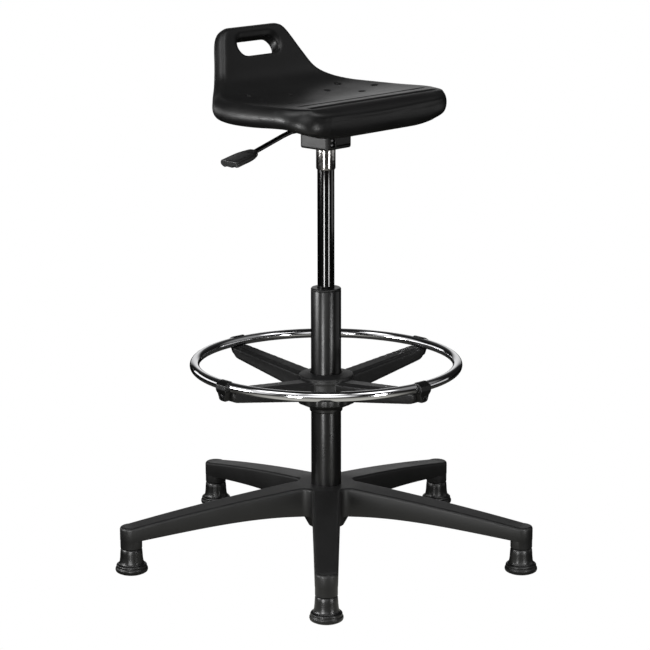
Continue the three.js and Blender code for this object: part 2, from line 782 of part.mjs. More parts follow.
function makeLever() {
  const start = new THREE.Vector3(-leverPivotReach, 0, leverHeight);
  const bend = new THREE.Vector3(-leverBendReach, 0, leverHeight);
  const end = new THREE.Vector3(-leverEndReach, 0, leverEndHeight);
  const bendLength = leverRadius * 2.5;
  const before = bend.clone().add(new THREE.Vector3(bendLength, 0, 0));
  const after = bend.clone().add(end.clone().sub(bend).setLength(bendLength));
  const path = new THREE.CurvePath();
  path.add(new THREE.LineCurve3(start, before));
  path.add(new THREE.QuadraticBezierCurve3(before, bend, after));
  path.add(new THREE.LineCurve3(after, end));
  const circle = new THREE.Shape().absarc(0, 0, leverRadius, 0, 2 * Math.PI);
  const stick = new THREE.ExtrudeGeometry(circle, { steps: 8, curveSegments: 7, extrudePath: path });

  const outline = new THREE.Shape();
  const inner = leverPivotReach + bladeInner;
  outline.moveTo(-bladeOuter, -leverRadius);
  outline.lineTo(0, -bladeHalfHeight);
  outline.lineTo(inner, -bladeHalfHeight);
  outline.lineTo(inner, 0);
  outline.lineTo(bladeHalfHeight, bladeHalfHeight);
  outline.lineTo(-bladeHalfHeight, bladeHalfHeight);
  outline.lineTo(-bladeOuter, leverRadius);
  const blade = prism(outline, -bladeThickness / 2, bladeThickness / 2).rotateX(Math.PI / 2);
  const pinHole = rod(leverPivotRadius + slideGap, -bladeThickness, bladeThickness).rotateX(Math.PI / 2);
  const lever = solidOf(stick)
    .add(solidOf(blade.translate(-leverPivotReach, 0, leverHeight)))
    .subtract(solidOf(pinHole.translate(-leverPivotReach, 0, leverHeight)));
  addPart("lever_rod", lever, blackEnamel);

  // The handle widens from a round neck to a flat grip, with finger flutes below its end
  const neckShare = (paddleNeckReach - leverBendReach) / (leverEndReach - leverBendReach);
  const neckHeight = lerp(leverHeight, leverEndHeight, neckShare);
  const sides = 22;
  const stations = 8;
  const loops = range(stations).map((station) => {
    const share = station / (stations - 1);
    const width = share < 0.5
      ? lerp(paddleHalfNeck, paddleHalfEnd, 1 - (1 - 2 * share) ** 2)
      : paddleHalfEnd;
    const closing = share > 0.9 ? 0.86 : 1;
    const thick = lerp(0.9, 1.05, share) * paddleHalfThick * closing * (share === 0 ? 0.86 : 1);
    const fluteDepth = paddleFlute * THREE.MathUtils.smoothstep(share, 0.45, 0.85);
    const along = share * paddleLength;
    return range(sides).map((step) => {
      const turn = 2 * Math.PI * step / sides;
      const square = (value) => Math.sign(value) * Math.abs(value) ** 0.55;
      const across = width * closing * square(Math.cos(turn));
      const rise = thick * square(Math.sin(turn));
      const wave = 0.5 - 0.5 * Math.cos(2 * Math.PI * (paddleFlutes - 0.5) * (across / width + 1) / 2);
      const flute = rise < 0 ? fluteDepth * wave : 0;
      return new THREE.Vector3(-along, across, rise + flute);
    });
  });
  let paddle = solidOf(lofted(loops).rotateY(-radians(paddleDrop))
    .translate(-paddleNeckReach, 0, neckHeight));
  const socketPath = new THREE.LineCurve3(
    end.clone().add(end.clone().sub(bend).setLength(seatGap)),
    bend,
  );
  const socketCircle = new THREE.Shape().absarc(0, 0, leverRadius + seatGap, 0, 2 * Math.PI);
  const socket = new THREE.ExtrudeGeometry(socketCircle, { steps: 1, curveSegments: 7, extrudePath: socketPath });
  paddle = paddle.subtract(solidOf(socket));
  addPart("lever_handle", paddle, blackNylon);
}

// Moulded seat. Each row gives the top and the underside as shares of seatDepth forward of the
// column axis and of lipRise above seatLevel, then the half width as a share of seatHalfWidth,
// then how far the top's edge and the underside's edge rise, as shares of lipRise.

const seatRowShares = [
  [0.408, -0.245, 0.408, -0.245, 0.640, 0.000, 0.000],
  [0.404, -0.133, 0.401, -0.378, 0.765, 0.000, 0.030],
  [0.385, -0.051, 0.382, -0.488, 0.850, 0.000, 0.070],
  [0.344, 0.000, 0.341, -0.540, 0.925, 0.000, 0.120],
  [0.274, 0.005, 0.280, -0.525, 0.975, 0.000, 0.150],
  [0.197, -0.010, 0.204, -0.409, 0.990, 0.020, 0.060],
  [0.000, -0.097, 0.000, -0.408, 0.985, 0.090, 0.030],
  [-0.159, -0.087, -0.175, -0.408, 0.960, 0.085, 0.030],
  [-0.271, -0.031, -0.306, -0.357, 0.880, 0.060, 0.025],
  [-0.345, 0.082, -0.400, -0.163, 0.740, 0.035, 0.020],
  [-0.395, 0.235, -0.461, 0.061, 0.620, 0.025, 0.010],
  [-0.437, 0.490, -0.505, 0.347, 0.535, 0.020, 0.000],
  [-0.477, 0.745, -0.546, 0.612, 0.468, 0.015, 0.000],
  [-0.499, 0.898, -0.568, 0.765, 0.420, 0.010, 0.000],
  [-0.513, 0.969, -0.567, 0.888, 0.370, 0.005, 0.000],
  [-0.538, 0.995, -0.538, 0.995, 0.290, 0.000, 0.000],
];

// A smooth curve through the rows, value by value
function seatRowAt(place) {
  const last = seatRowShares.length - 1;
  const base = Math.min(Math.floor(place), last - 1);
  const share = place - base;
  const rows = [-1, 0, 1, 2].map((step) => seatRowShares[THREE.MathUtils.clamp(base + step, 0, last)]);
  return seatRowShares[0].map((_, column) => {
    const [before, here, next, after] = rows.map((row) => row[column]);
    const slopeHere = (next - before) / 2;
    const slopeNext = (after - here) / 2;
    return bezier([here, here + slopeHere / 3, next - slopeNext / 3, next], share);
  });
}

const seatRowSteps = 10;
const seatSideSteps = 4;

// The middle line's section at a row, as [forward, height], half its thickness and its upward side
function seatSection(place) {
  const [topAlong, topRise, underAlong, underRise] = seatRowAt(place);
  const spotOf = (along, rise) => new THREE.Vector2(along * seatDepth, seatLevel + rise * lipRise);
  const top = spotOf(topAlong, topRise);
  const under = spotOf(underAlong, underRise);
  const middle = top.clone().add(under).divideScalar(2);
  const half = top.distanceTo(under) / 2;
  const up = half > 0 ? top.clone().sub(under).normalize() : new THREE.Vector2(0, 1);
  return { middle, half, up };
}

function seatLoop(place) {
  const [width, crest, lift] = seatRowAt(place).slice(4);
  const { middle, half, up } = seatSection(place);
  const round = Math.min(half, seatSideRound);
  const flatHalf = width * seatHalfWidth - round;
  const crestRise = crest * lipRise;
  const underLift = lift * lipRise;
  const topEdge = half + crestRise;
  const underEdge = underLift - half;
  const loop = [];
  const place3d = (across, height) => {
    const forward = middle.x + up.x * height;
    loop.push(new THREE.Vector3(across, -forward, middle.y + up.y * height));
  };
  const topAt = (across) => half + crestRise * Math.abs(across / flatHalf) ** 2.5;
  const underAt = (across) => {
    const past = Math.max(0, Math.abs(across) - seatUnderFlat) / (seatHalfWidth - seatUnderFlat);
    const end = Math.max(0, flatHalf - seatUnderFlat) / (seatHalfWidth - seatUnderFlat);
    return -half + (end > 0 ? underLift * (past / end) ** 2 : 0);
  };
  const lastUnder = flatHalf > seatUnderFlat ? underEdge : -half;
  const side = (sign, backwards) => {
    for (const step of range(seatSideSteps - 1)) {
      const turn = Math.PI * (0.5 - (step + 1) / seatSideSteps) * (backwards ? -1 : 1);
      const centre = (topEdge + lastUnder) / 2;
      const reach = (topEdge - lastUnder) / 2;
      place3d(sign * (flatHalf + round * Math.cos(turn)), centre + reach * Math.sin(turn));
    }
  };
  for (const step of range(seatRowSteps + 1)) {
    const across = flatHalf * (2 * step / seatRowSteps - 1);
    place3d(across, topAt(across));
  }
  side(1, false);
  for (const step of range(seatRowSteps + 1)) {
    const across = flatHalf * (1 - 2 * step / seatRowSteps);
    place3d(across, underAt(across));
  }
  side(-1, true);
  return loop;
}

// A hole through the lip, square to it, narrow in the middle and flared to both faces
function handleCutter() {
  const { middle, half, up } = seatSection(handleRow);
  const halfLip = half;
  const cornerSteps = 6;
  const throat = halfLip - handleFlare;
  const flareAt = (depth) => {
    const past = Math.min(1, Math.max(0, Math.abs(depth) - throat) / handleFlare);
    return handleFlare * (1 - Math.sqrt(1 - past * past));
  };
  const depthShares = [-1.3, -1, -0.75, -0.4, 0.4, 0.75, 1, 1.3];
  const loops = depthShares.map((share) => {
    const depth = share * halfLip;
    const radius = handleHalfHeight + flareAt(depth);
    const straight = handleHalfLength - handleHalfHeight;
    const ends = [1, -1].flatMap((sign) => range(cornerSteps + 1).map((step) => {
      const turn = Math.PI * (step / cornerSteps - 0.5);
      return [sign * (straight + radius * Math.cos(turn)), sign * radius * Math.sin(turn)];
    }));
    return ends.map(([across, rise]) => new THREE.Vector3(across, -depth, rise));
  });
  const lean = Math.atan2(up.y, up.x);
  return solidOf(lofted(loops).rotateX(-lean).translate(0, -middle.x, middle.y));
}

function makeSeat() {
  const last = seatRowShares.length - 1;
  const places = range(2 * last + 1).map((step) => step / 2);
  let seat = solidOf(lofted(places.map(seatLoop)));
  seat = seat.subtract(handleCutter());
  const grooveHalf = grooveLengthShare * seatHalfWidth;
  for (const share of grooveShares) {
    const bar = rod(grooveRadius, -grooveHalf, grooveHalf, smallSides);
    const height = seatLevel + grooveRadius - grooveDepth;
    seat = seat.subtract(solidOf(bar.rotateY(Math.PI / 2).translate(0, -share * seatDepth, height)));
  }
  const pocket = prism(
    roundedRectangle(boardHalfAcross + seatGap, boardHalfDeep + seatGap, boardCorner + seatGap),
    housingBottom,
    boardUnder + boardThickness + seatGap,
    3,
  );
  seat = seat.subtract(solidOf(pocket));
  addPart("seat_foam", seat, blackFoam);
}

// Foot ring

const armAngles = range(armCount).map((arm) => radians(armTurn + arm * 360 / armCount));

function makeRing() {
  const ring = new THREE.TorusGeometry(ringRadius, ringTube, tubeSides, ringSides);
  addPart("foot_ring_tube", ring.translate(0, 0, ringHeight), chromeSteel);
}

const armNutClearance = clampNutRadius + 2 * slideGap;

function armLoop(along) {
  const share = Math.max(0, (along - spiderRadius) / (ringRadius - spiderRadius));
  const half = lerp(armHalfRoot, armHalfEnd, share);
  const deck = lerp(armDeckHalfRoot, armDeckHalfEnd, share);
  const top = ringHeight - lerp(armTopRootDrop, armTopEndDrop, share);
  const shoulder = top - armStep;
  const heel = Math.max(0, along - (ringRadius - armHeel));
  const overNut = along <= armNutClearance ? spiderFloor : 0;
  const slope = ringHeight - lerp(armUnderRootDrop, armUnderEndDrop, share);
  const under = Math.max(overNut, slope) + armHeel - Math.sqrt(armHeel ** 2 - heel ** 2);
  const right = [
    [half - armBottomEdge, under],
    [half, under + armBottomEdge],
    [half, shoulder],
    [deck + armStep / 4, shoulder + armStep / 4],
    [deck, top],
  ];
  const left = right.map(([across, height]) => [-across, height]).toReversed();
  return [...right, ...left].map(([across, height]) => new THREE.Vector3(along, across, height));
}

function makeSpider() {
  const hubEdge = spiderTop - spiderTopSlope;
  const hub = turnedSolid([
    [columnRadius + 2 * slideGap, spiderTop],
    [columnRadius + 2 * slideGap, spiderCover],
    [colletRadius + slideGap, spiderCover],
    [colletRadius + slideGap, spiderFloor],
    [spiderRadius, spiderFloor],
    [spiderRadius, hubEdge - spiderLip / 2],
    [spiderRadius - spiderLip / 2, hubEdge],
    [columnRadius + 2 * slideGap, spiderTop],
  ]);
  const heelStart = ringRadius - armHeel;
  const armEnd = ringRadius - seatGap;
  const stations = [
    colletRadius + 2 * spiderLip,
    armNutClearance,
    armNutClearance + armBottomEdge,
    heelStart,
    heelStart + armHeel / 2,
    heelStart + 0.85 * armHeel,
    armEnd,
  ];
  const arm = lofted(stations.map(armLoop));
  const seatRing = new THREE.TorusGeometry(ringRadius, ringTube + seatGap, tubeSides, ringSides);
  const screwHole = rod(jawScrewRadius + seatGap, ringRadius - jawScrewReach - seatGap, ringRadius + cutOverrun);
  const screwHeight = jawScrewHeight();
  let spider = hub;
  for (const angle of armAngles) {
    const hole = screwHole.clone().rotateY(Math.PI / 2).translate(0, 0, screwHeight);
    const drilled = solidOf(arm).subtract(solidOf(hole));
    spider = spider.add(drilled.rotate([0, 0, THREE.MathUtils.radToDeg(angle)]));
  }
  spider = spider.subtract(solidOf(seatRing.translate(0, 0, ringHeight)));
  addPart("foot_ring_spider", spider, blackNylon);
}

function jawScrewHeight() {
  return (jawFoot + ringHeight - ringTube - seatGap) / 2;
}

// A jaw hooks over the ring from outside and is screwed to the end of its arm
function makeJaw(number, angle) {
  const inside = ringRadius + seatGap;
  const outside = ringRadius + ringTube + jawThickness;
  const groove = ringTube + seatGap;
  const hookTurn = radians(105);
  const footTurn = Math.asin((inside - ringRadius) / groove) - Math.PI / 2;
  const outline = new THREE.Shape();
  const top = ringHeight + ringTube + jawTopThickness;
  outline.moveTo(inside, jawFoot);
  outline.lineTo(outside - jawThickness, jawFoot);
  outline.lineTo(outside - jawThickness / 2, jawFoot + jawThickness / 2);
  outline.lineTo(outside - jawThickness / 2, ringHeight - ringTube - jawThickness / 2);
  outline.lineTo(outside, ringHeight - ringTube / 2);
  outline.lineTo(outside - jawThickness / 8, ringHeight + ringTube / 2);
  outline.lineTo(ringRadius + ringTube, ringHeight + ringTube - jawTopThickness / 4);
  outline.lineTo(ringRadius + ringTube / 3, top);
  outline.lineTo(ringRadius - ringTube / 8, top);
  outline.absarc(ringRadius, ringHeight, groove, hookTurn, footTurn, true);
  const slab = prism(outline, -jawWidth / 2, jawWidth / 2, 7).rotateX(Math.PI / 2);

  // Seen from outside, it narrows below the ring to a rounded foot
  const [halfTop, halfFoot] = [jawWidth / 2, jawFootWidth / 2];
  const face = new THREE.Shape();
  face.moveTo(halfTop, top + cutOverrun);
  face.lineTo(-halfTop, top + cutOverrun);
  face.lineTo(-halfTop, ringHeight - ringTube);
  face.lineTo(-halfFoot, jawFoot + jawCorner);
  face.quadraticCurveTo(-halfFoot, jawFoot, jawCorner - halfFoot, jawFoot);
  face.lineTo(halfFoot - jawCorner, jawFoot);
  face.quadraticCurveTo(halfFoot, jawFoot, halfFoot, jawFoot + jawCorner);
  face.lineTo(halfTop, ringHeight - ringTube);
  const keep = prism(face, ringRadius - ringTube, outside + cutOverrun, 3).rotateX(Math.PI / 2).rotateZ(Math.PI / 2);

  const headSeat = outside - jawThickness / 2 - jawScrewHeadHeight;
  const shaft = rod(jawScrewRadius + seatGap, ringRadius - cutOverrun, outside + cutOverrun, smallSides);
  const headHole = rod(jawScrewHead + seatGap, headSeat, outside + cutOverrun, smallSides);
  const screwHeight = jawScrewHeight();
  const lay = (shape) => solidOf(shape.rotateY(Math.PI / 2).translate(0, 0, screwHeight));
  const turnedTo = [0, 0, THREE.MathUtils.radToDeg(angle)];
  const jaw = solidOf(slab).intersect(solidOf(keep)).subtract(lay(shaft)).subtract(lay(headHole));
  addPart(`ring_jaw_${number}`, jaw.rotate(turnedTo), blackNylon);

  const headLow = headSeat + seatGap;
  const shank = rod(jawScrewRadius, ringRadius - jawScrewReach, headLow + jawScrewHeadHeight / 2, smallSides);
  const head = rod(jawScrewHead, headLow, headLow + jawScrewHeadHeight, smallSides);
  addPart(`jaw_screw_${number}`, lay(shank).add(lay(head)).rotate(turnedTo), blackEnamel);
}

function makeClampNut() {
  const sleeveInner = columnRadius + slideGap;
  const colletTop = spiderCover - slideGap;
  let collet = solidOf(tube(sleeveInner, colletRadius, colletBottom, colletTop));
  for (const slit of range(colletSlits)) {
    const cut = block(
      [0, -colletSlitWidth / 2, colletBottom - cutOverrun],
      [colletRadius + cutOverrun, colletSlitWidth / 2, lerp(colletBottom, colletTop, 0.6)],
    );
    collet = collet.subtract(solidOf(cut.rotateZ(radians(armTurn) + (slit + 0.5) * 2 * Math.PI / colletSlits)));
  }
  addPart("ring_collet", collet, whiteAcetal);

  const top = spiderFloor - slideGap;
  const coneTop = top - clampNutStraight;
  const coneBottom = coneTop - clampNutConeHeight;
  const bottom = coneBottom - clampNutNeckHeight;
  const gripSteps = 4 * clampNutGrips;
  const grip = new THREE.Shape(range(gripSteps).map((step) => {
    const turn = 2 * Math.PI * step / gripSteps;
    const radius = clampNutRadius - clampNutGripDepth * (1 - Math.cos(clampNutGrips * turn)) / 2;
    return new THREE.Vector2(radius * Math.cos(turn), radius * Math.sin(turn));
  }));
  const foot = turnedSolid([
    [0, bottom],
    [clampNutNeck - clampNutGripDepth, bottom],
    [clampNutNeck, bottom + clampNutGripDepth],
    [clampNutNeck, coneBottom],
    [clampNutRadius - 2 * clampNutGripDepth, coneTop],
    [clampNutRadius - 2 * clampNutGripDepth, coneTop + clampNutGripDepth],
    [0, coneTop + clampNutGripDepth],
  ]);
  const bore = turnedSolid([
    [0, bottom - cutOverrun],
    [sleeveInner + slideGap, bottom - cutOverrun],
    [sleeveInner + slideGap, colletBottom - slideGap],
    [colletRadius + slideGap, colletBottom - slideGap],
    [colletRadius + slideGap, top + cutOverrun],
    [0, top + cutOverrun],
  ]);
  const nut = solidOf(prism(grip, coneTop, top)).add(foot).subtract(bore);
  addPart("ring_clamp_nut", nut, blackNylon);
}

makeBase();
footAngles.forEach((angle, index) => makeGlide(index + 1, angle));
makeColumn();
makeLift();
makeHousing();
makeSeatMounting();
makeLever();
makeSeat();
makeRing();
makeSpider();
armAngles.forEach((angle, index) => makeJaw(index + 1, angle));
makeClampNut();

export default stool;
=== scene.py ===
import json
import math

import bmesh
import bpy
from mathutils import Matrix, Vector


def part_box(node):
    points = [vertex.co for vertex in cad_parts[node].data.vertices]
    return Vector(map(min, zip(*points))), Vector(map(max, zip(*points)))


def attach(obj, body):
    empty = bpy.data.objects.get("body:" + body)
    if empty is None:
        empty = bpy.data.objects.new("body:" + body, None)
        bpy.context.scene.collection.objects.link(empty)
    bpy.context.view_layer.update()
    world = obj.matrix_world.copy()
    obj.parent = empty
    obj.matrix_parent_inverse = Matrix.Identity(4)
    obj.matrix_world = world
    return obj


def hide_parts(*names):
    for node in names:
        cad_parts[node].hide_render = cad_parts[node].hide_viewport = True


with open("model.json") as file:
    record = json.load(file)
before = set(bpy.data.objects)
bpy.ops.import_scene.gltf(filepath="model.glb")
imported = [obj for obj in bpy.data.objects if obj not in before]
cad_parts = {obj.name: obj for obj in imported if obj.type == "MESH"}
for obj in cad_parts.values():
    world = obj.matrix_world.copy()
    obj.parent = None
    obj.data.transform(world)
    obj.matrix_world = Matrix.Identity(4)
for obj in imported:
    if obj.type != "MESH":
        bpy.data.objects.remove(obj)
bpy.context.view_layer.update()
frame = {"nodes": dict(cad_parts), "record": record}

# %% [markdown]
# # A perch stool
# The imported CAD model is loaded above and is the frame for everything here. It is right in its
# sizes and joints but plain in its looks: flat facets, sharp corners, bare colours. Each cell
# below makes one visible piece of the stool again with rounder forms and a real finish, in the
# place where the CAD piece is.

# %% [markdown]
# ## Measures
# The stool is drawn in millimetres about the column's axis, as a workshop drawing would be. One
# matrix carries a finished mesh to its place in metres, so no object needs moving afterwards.

# %% Measures
MM = 0.001
column_low, column_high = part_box("column_tube")
AXIS = (column_low + column_high) / 2
PLACE = Matrix.Translation((AXIS.x, AXIS.y, 0)) @ Matrix.Scale(MM, 4)
LEG_COUNT = 5
LEG_TURN = math.radians(6)
FOOT_REACH = 336
ARM_COUNT = 4
ARM_TURN = math.radians(-4.7)
RING_HEIGHT = 327
RING_RADIUS = 217.4
RING_TUBE = 8
print("column axis", [round(value, 4) for value in AXIS])

# %% [markdown]
# ## Shared effects
# Moulded plastic, foam, paint and metal all show the same few small things: a fine grain, a
# slow change of tone, edges rubbed a little brighter and a trace of dust on what faces up. Each
# could be copied into every material, but a node group is built once and set by its inputs.


# %% Helper for node groups
def new_group(name, inputs, outputs):
    group = bpy.data.node_groups.new(name, "ShaderNodeTree")
    for label, default in inputs:
        socket = group.interface.new_socket(label, in_out="INPUT", socket_type="NodeSocketFloat")
        socket.default_value = default
    for label in outputs:
        group.interface.new_socket(label, in_out="OUTPUT", socket_type="NodeSocketFloat")
    start = group.nodes.new("NodeGroupInput")
    end = group.nodes.new("NodeGroupOutput")
    return group, start.outputs, end.inputs


def add(tree, kind, links=(), **values):
    """A node with its settings, its plain input values and its links from other sockets."""
    node = tree.nodes.new("ShaderNode" + kind)
    for key, value in values.items():
        setattr(node, key, value)
    for target, source in dict(links).items():
        if isinstance(source, bpy.types.NodeSocket):
            tree.links.new(source, node.inputs[target])
        else:
            node.inputs[target].default_value = source
    return node


def maths(tree, operation, first, second):
    return add(tree, "Math", {0: first, 1: second}, operation=operation).outputs[0]


# %% [markdown]
# ### Grain
# A moulded part copies the etched surface of its mould, a pebbled grain of a few tenths of a
# millimetre. Noise alone looks like cloud, and cells alone look like tiles, so the two are
# added. A slow noise beside it gives the change of tone across a large face.


# %% Grain
grain, given, made = new_group("moulded_grain", [("Scale", 900)], ["Height", "Tone"])
place = add(grain, "TexCoord").outputs["Object"]
cloud = add(grain, "TexNoise", {"Vector": place, "Scale": given["Scale"], "Detail": 3})
cells = add(grain, "TexVoronoi", {"Vector": place, "Scale": given["Scale"]}, feature="SMOOTH_F1")
pebble = maths(grain, "ADD", cloud.outputs["Fac"], cells.outputs["Distance"])
grain.links.new(pebble, made["Height"])
slow = add(grain, "TexNoise", {"Vector": place, "Scale": 14, "Detail": 4, "Roughness": 0.6})
grain.links.new(slow.outputs["Fac"], made["Tone"])
print("group", grain.name)

# %% [markdown]
# ### Worn edges
# Paint and plastic are rubbed brighter where an edge stands out. The Bevel node bends the
# normal near an edge, so the angle between the bent and the plain normal finds every edge
# without painting a mask. A noise breaks the line up, because no edge wears evenly.

# %% Worn edges
wear, given, made = new_group("edge_wear", [("Radius", 0.0015), ("Amount", 0.5)], ["Mask"])
place = add(wear, "TexCoord").outputs["Object"]
bent = add(wear, "Bevel", {"Radius": given["Radius"]}, samples=6)
plain = add(wear, "NewGeometry").outputs["Normal"]
same = add(wear, "VectorMath", {0: bent.outputs[0], 1: plain}, operation="DOT_PRODUCT")
turned = maths(wear, "SUBTRACT", 1, same.outputs["Value"])
edge = add(wear, "MapRange", {"Value": turned, "From Min": 0.01, "From Max": 0.18})
patchy = add(wear, "TexNoise", {"Vector": place, "Scale": 90, "Detail": 5, "Roughness": 0.7})
gaps = add(wear, "MapRange", {"Value": patchy.outputs["Fac"], "From Min": 0.35, "From Max": 0.65})
broken = maths(wear, "MULTIPLY", edge.outputs[0], gaps.outputs[0])
wear.links.new(maths(wear, "MULTIPLY", broken, given["Amount"]), made["Mask"])
print("group", wear.name)

# %% [markdown]
# ### Dust
# Dust settles on what faces up. The height part of the normal gives that, and two noises give
# the uneven film that a cloth leaves behind.

# %% Dust
dust, given, made = new_group("dust", [("Amount", 0.3)], ["Mask"])
place = add(dust, "TexCoord").outputs["Object"]
facing = add(dust, "SeparateXYZ", {"Vector": add(dust, "NewGeometry").outputs["Normal"]})
upward = add(dust, "MapRange", {"Value": facing.outputs["Z"], "From Min": 0.3, "From Max": 1})
film = add(dust, "TexNoise", {"Vector": place, "Scale": 35, "Detail": 8, "Roughness": 0.7})
lying = maths(dust, "MULTIPLY", upward.outputs[0], film.outputs["Fac"])
dust.links.new(maths(dust, "MULTIPLY", lying, given["Amount"]), made["Mask"])
print("group", dust.name)

# %% [markdown]
# ## Finishes
# Every finish is one Principled shader with the groups feeding its colour, roughness and bump.
# They share a recipe, so one function writes it: a dark and a light tone mixed by the slow
# noise, then dust, then worn edges, and a bump from the grain.


# %% Recipe for a finish
def group_node(tree, group, **values):
    node = tree.nodes.new("ShaderNodeGroup")
    node.node_tree = group
    for label, value in values.items():
        node.inputs[label].default_value = value
    return node


def mixed(tree, share, first, second):
    node = add(tree, "Mix", {"Factor": share}, data_type="RGBA")
    for label, value in (("A", first), ("B", second)):
        socket = next(s for s in node.inputs if s.name == label and s.type == "RGBA")
        if isinstance(value, bpy.types.NodeSocket):
            tree.links.new(value, socket)
        else:
            socket.default_value = (*value, 1)
    return next(s for s in node.outputs if s.type == "RGBA")


def grey(value):
    """A grey with a trace of blue, as black plastic has."""
    return (value, value, value * 1.02)


WEAR_RADIUS = 0.001
DUST_TONE = 0.12
COAT_ROUGHNESS = 0.08


def finish(name, dark, light, rough, grain_scale, bump, worn, dusty=0.08, metal=0, coat=0,
           rough_change=0.1, bump_distance=0.0002):
    """A material; worn, dusty and coat are shares, and bump_distance is in metres."""
    material = bpy.data.materials.new(name)
    material.use_nodes = True
    tree = material.node_tree
    tree.nodes.clear()
    output = add(tree, "OutputMaterial")
    shader = add(tree, "BsdfPrincipled")
    tree.links.new(shader.outputs[0], output.inputs[0])
    grained = group_node(tree, grain, Scale=grain_scale)
    tone = mixed(tree, grained.outputs["Tone"], dark, light)
    dusted = group_node(tree, dust, Amount=dusty)
    tone = mixed(tree, dusted.outputs["Mask"], tone, grey(DUST_TONE))
    rubbed = group_node(tree, wear, Radius=WEAR_RADIUS, Amount=worn)
    bright = tuple(min(1, 3 * value + 0.01) for value in light) if not metal else light
    tree.links.new(mixed(tree, rubbed.outputs["Mask"], tone, bright), shader.inputs["Base Color"])
    spread = add(tree, "MapRange", {
        "Value": grained.outputs["Tone"], "From Min": 0.3, "From Max": 0.7,
        "To Min": rough - rough_change / 2, "To Max": rough + rough_change / 2})
    tree.links.new(spread.outputs[0], shader.inputs["Roughness"])
    relief = add(tree, "Bump", {
        "Height": grained.outputs["Height"], "Strength": bump, "Distance": bump_distance})
    tree.links.new(relief.outputs[0], shader.inputs["Normal"])
    shader.inputs["Metallic"].default_value = metal
    shader.inputs["Coat Weight"].default_value = coat
    shader.inputs["Coat Roughness"].default_value = COAT_ROUGHNESS
    return material


# %% [markdown]
# ### The stool's finishes
# The seat is integral-skin foam with a satin skin, the base and the spider are grained nylon,
# the column and the gas cylinder are painted, and the ring is chromed. The lever's handle is a
# lighter copy of the nylon, painted light for the light that falls on it, with more worn edge.
# The numbers are a dark and a light tone, the roughness, the grain's scale, the height of the
# bump and the share of worn edge.

# %% The stool's finishes
foam = finish("foam_skin", grey(0.010), grey(0.016), 0.38, 1400, 0.2, 0, dusty=0.02)
nylon = finish("grained_nylon", grey(0.006), grey(0.016), 0.46, 700, 0.5, 0.3, dusty=0.02)
dark_nylon = finish("dark_nylon", grey(0.003), grey(0.006), 0.34, 1100, 0.3, 0.2, dusty=0.02)
# A lighter copy of the nylon for the lever's handle: its lighter tone is painted light, and its
# edges wear more.
worn_and_painted_light_nylon = finish("worn_and_painted_light_nylon", grey(0.016), grey(0.03), 0.36, 900, 0.3, 0.5, dusty=0.02)
paint = finish("black_paint", grey(0.002), grey(0.004), 0.28, 500, 0.01, 0.15, dusty=0.01,
               rough_change=0.04)
gloss = finish("gloss_cylinder", grey(0.002), grey(0.003), 0.13, 500, 0.02, 0.1, coat=0.6,
               dusty=0, rough_change=0.03, bump_distance=0.00005)
chrome = finish("chrome_plate", grey(0.78), grey(0.86), 0.09, 300, 0.004, 0, metal=1,
                dusty=0.01, rough_change=0.03)
steel = finish("scuffed_steel", (0.12, 0.1, 0.085), (0.85, 0.84, 0.82), 0.2, 260, 0.35, 0,
               metal=1, dusty=0, rough_change=0.16, bump_distance=0.0004)
zinc = finish("zinc_plate", grey(0.42), grey(0.6), 0.3, 700, 0.2, 0.2, metal=1, dusty=0.03)
rubber = finish("soft_rubber", grey(0.006), grey(0.011), 0.78, 800, 0.4, 0, dusty=0.2)
acetal = finish("acetal", (0.62, 0.6, 0.55), (0.7, 0.69, 0.64), 0.42, 900, 0.1, 0)
plywood = finish("stained_ply", (0.02, 0.016, 0.013), (0.035, 0.028, 0.022), 0.6, 260, 0.4, 0.1)
print(len(bpy.data.materials), "finishes")

# %% [markdown]
# ## Finished pieces
# A shape comes from bmesh in millimetres. Here it gets its place, its finish, smooth shading
# that stops at real edges and the body that it moves with, and the CAD nodes that it stands for
# are hidden.


# %% Turning a bmesh into a piece
def finished(name, shape, body, look, nodes=(), smooth=35):
    """A piece of the stool from a shape in millimetres; the shape is used up."""
    bmesh.ops.transform(shape, matrix=PLACE, verts=shape.verts)
    mesh = bpy.data.meshes.new(name)
    shape.to_mesh(mesh)
    shape.free()
    piece = bpy.data.objects.new(name, mesh)
    bpy.context.scene.collection.objects.link(piece)
    mesh.materials.append(look)
    mesh.shade_smooth()
    mesh.set_sharp_from_angle(angle=math.radians(smooth))
    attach(piece, body)
    if nodes:
        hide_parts(*nodes)
    print(name, len(mesh.polygons), "faces")
    return piece


def sharp_edges(shape, over):
    return [edge for edge in shape.edges
            if len(edge.link_faces) == 2 and edge.calc_face_angle(0) > math.radians(over)]


def round_edges(shape, width, segments=3, over=28):
    bmesh.ops.bevel(shape, geom=sharp_edges(shape, over), offset=width, offset_type="OFFSET",
                    segments=segments, profile=0.5, affect="EDGES", material=-1,
                    clamp_overlap=True)


def rotated(shape, angle, axis="Z"):
    bmesh.ops.rotate(shape, cent=(0, 0, 0), verts=shape.verts,
                     matrix=Matrix.Rotation(angle, 3, axis))


def spun(profile, closed=False, steps=72, width=0.6, centre=(0, 0)):
    """A turned shape about Z from (radius, height) pairs, with its corners rounded."""
    shape = bmesh.new()
    spots = [shape.verts.new((radius, 0, height)) for radius, height in profile]
    for here, after in zip(spots, spots[1:]):
        shape.edges.new((here, after))
    if closed:
        shape.edges.new((spots[-1], spots[0]))
    bmesh.ops.spin(shape, geom=shape.verts[:] + shape.edges[:], axis=(0, 0, 1),
                   cent=(0, 0, 0), angle=math.tau, steps=steps, use_merge=True)
    bmesh.ops.remove_doubles(shape, verts=shape.verts, dist=0.001)
    bmesh.ops.recalc_face_normals(shape, faces=shape.faces)
    if width:
        round_edges(shape, width)
    bmesh.ops.translate(shape, vec=(*centre, 0), verts=shape.verts)
    return shape


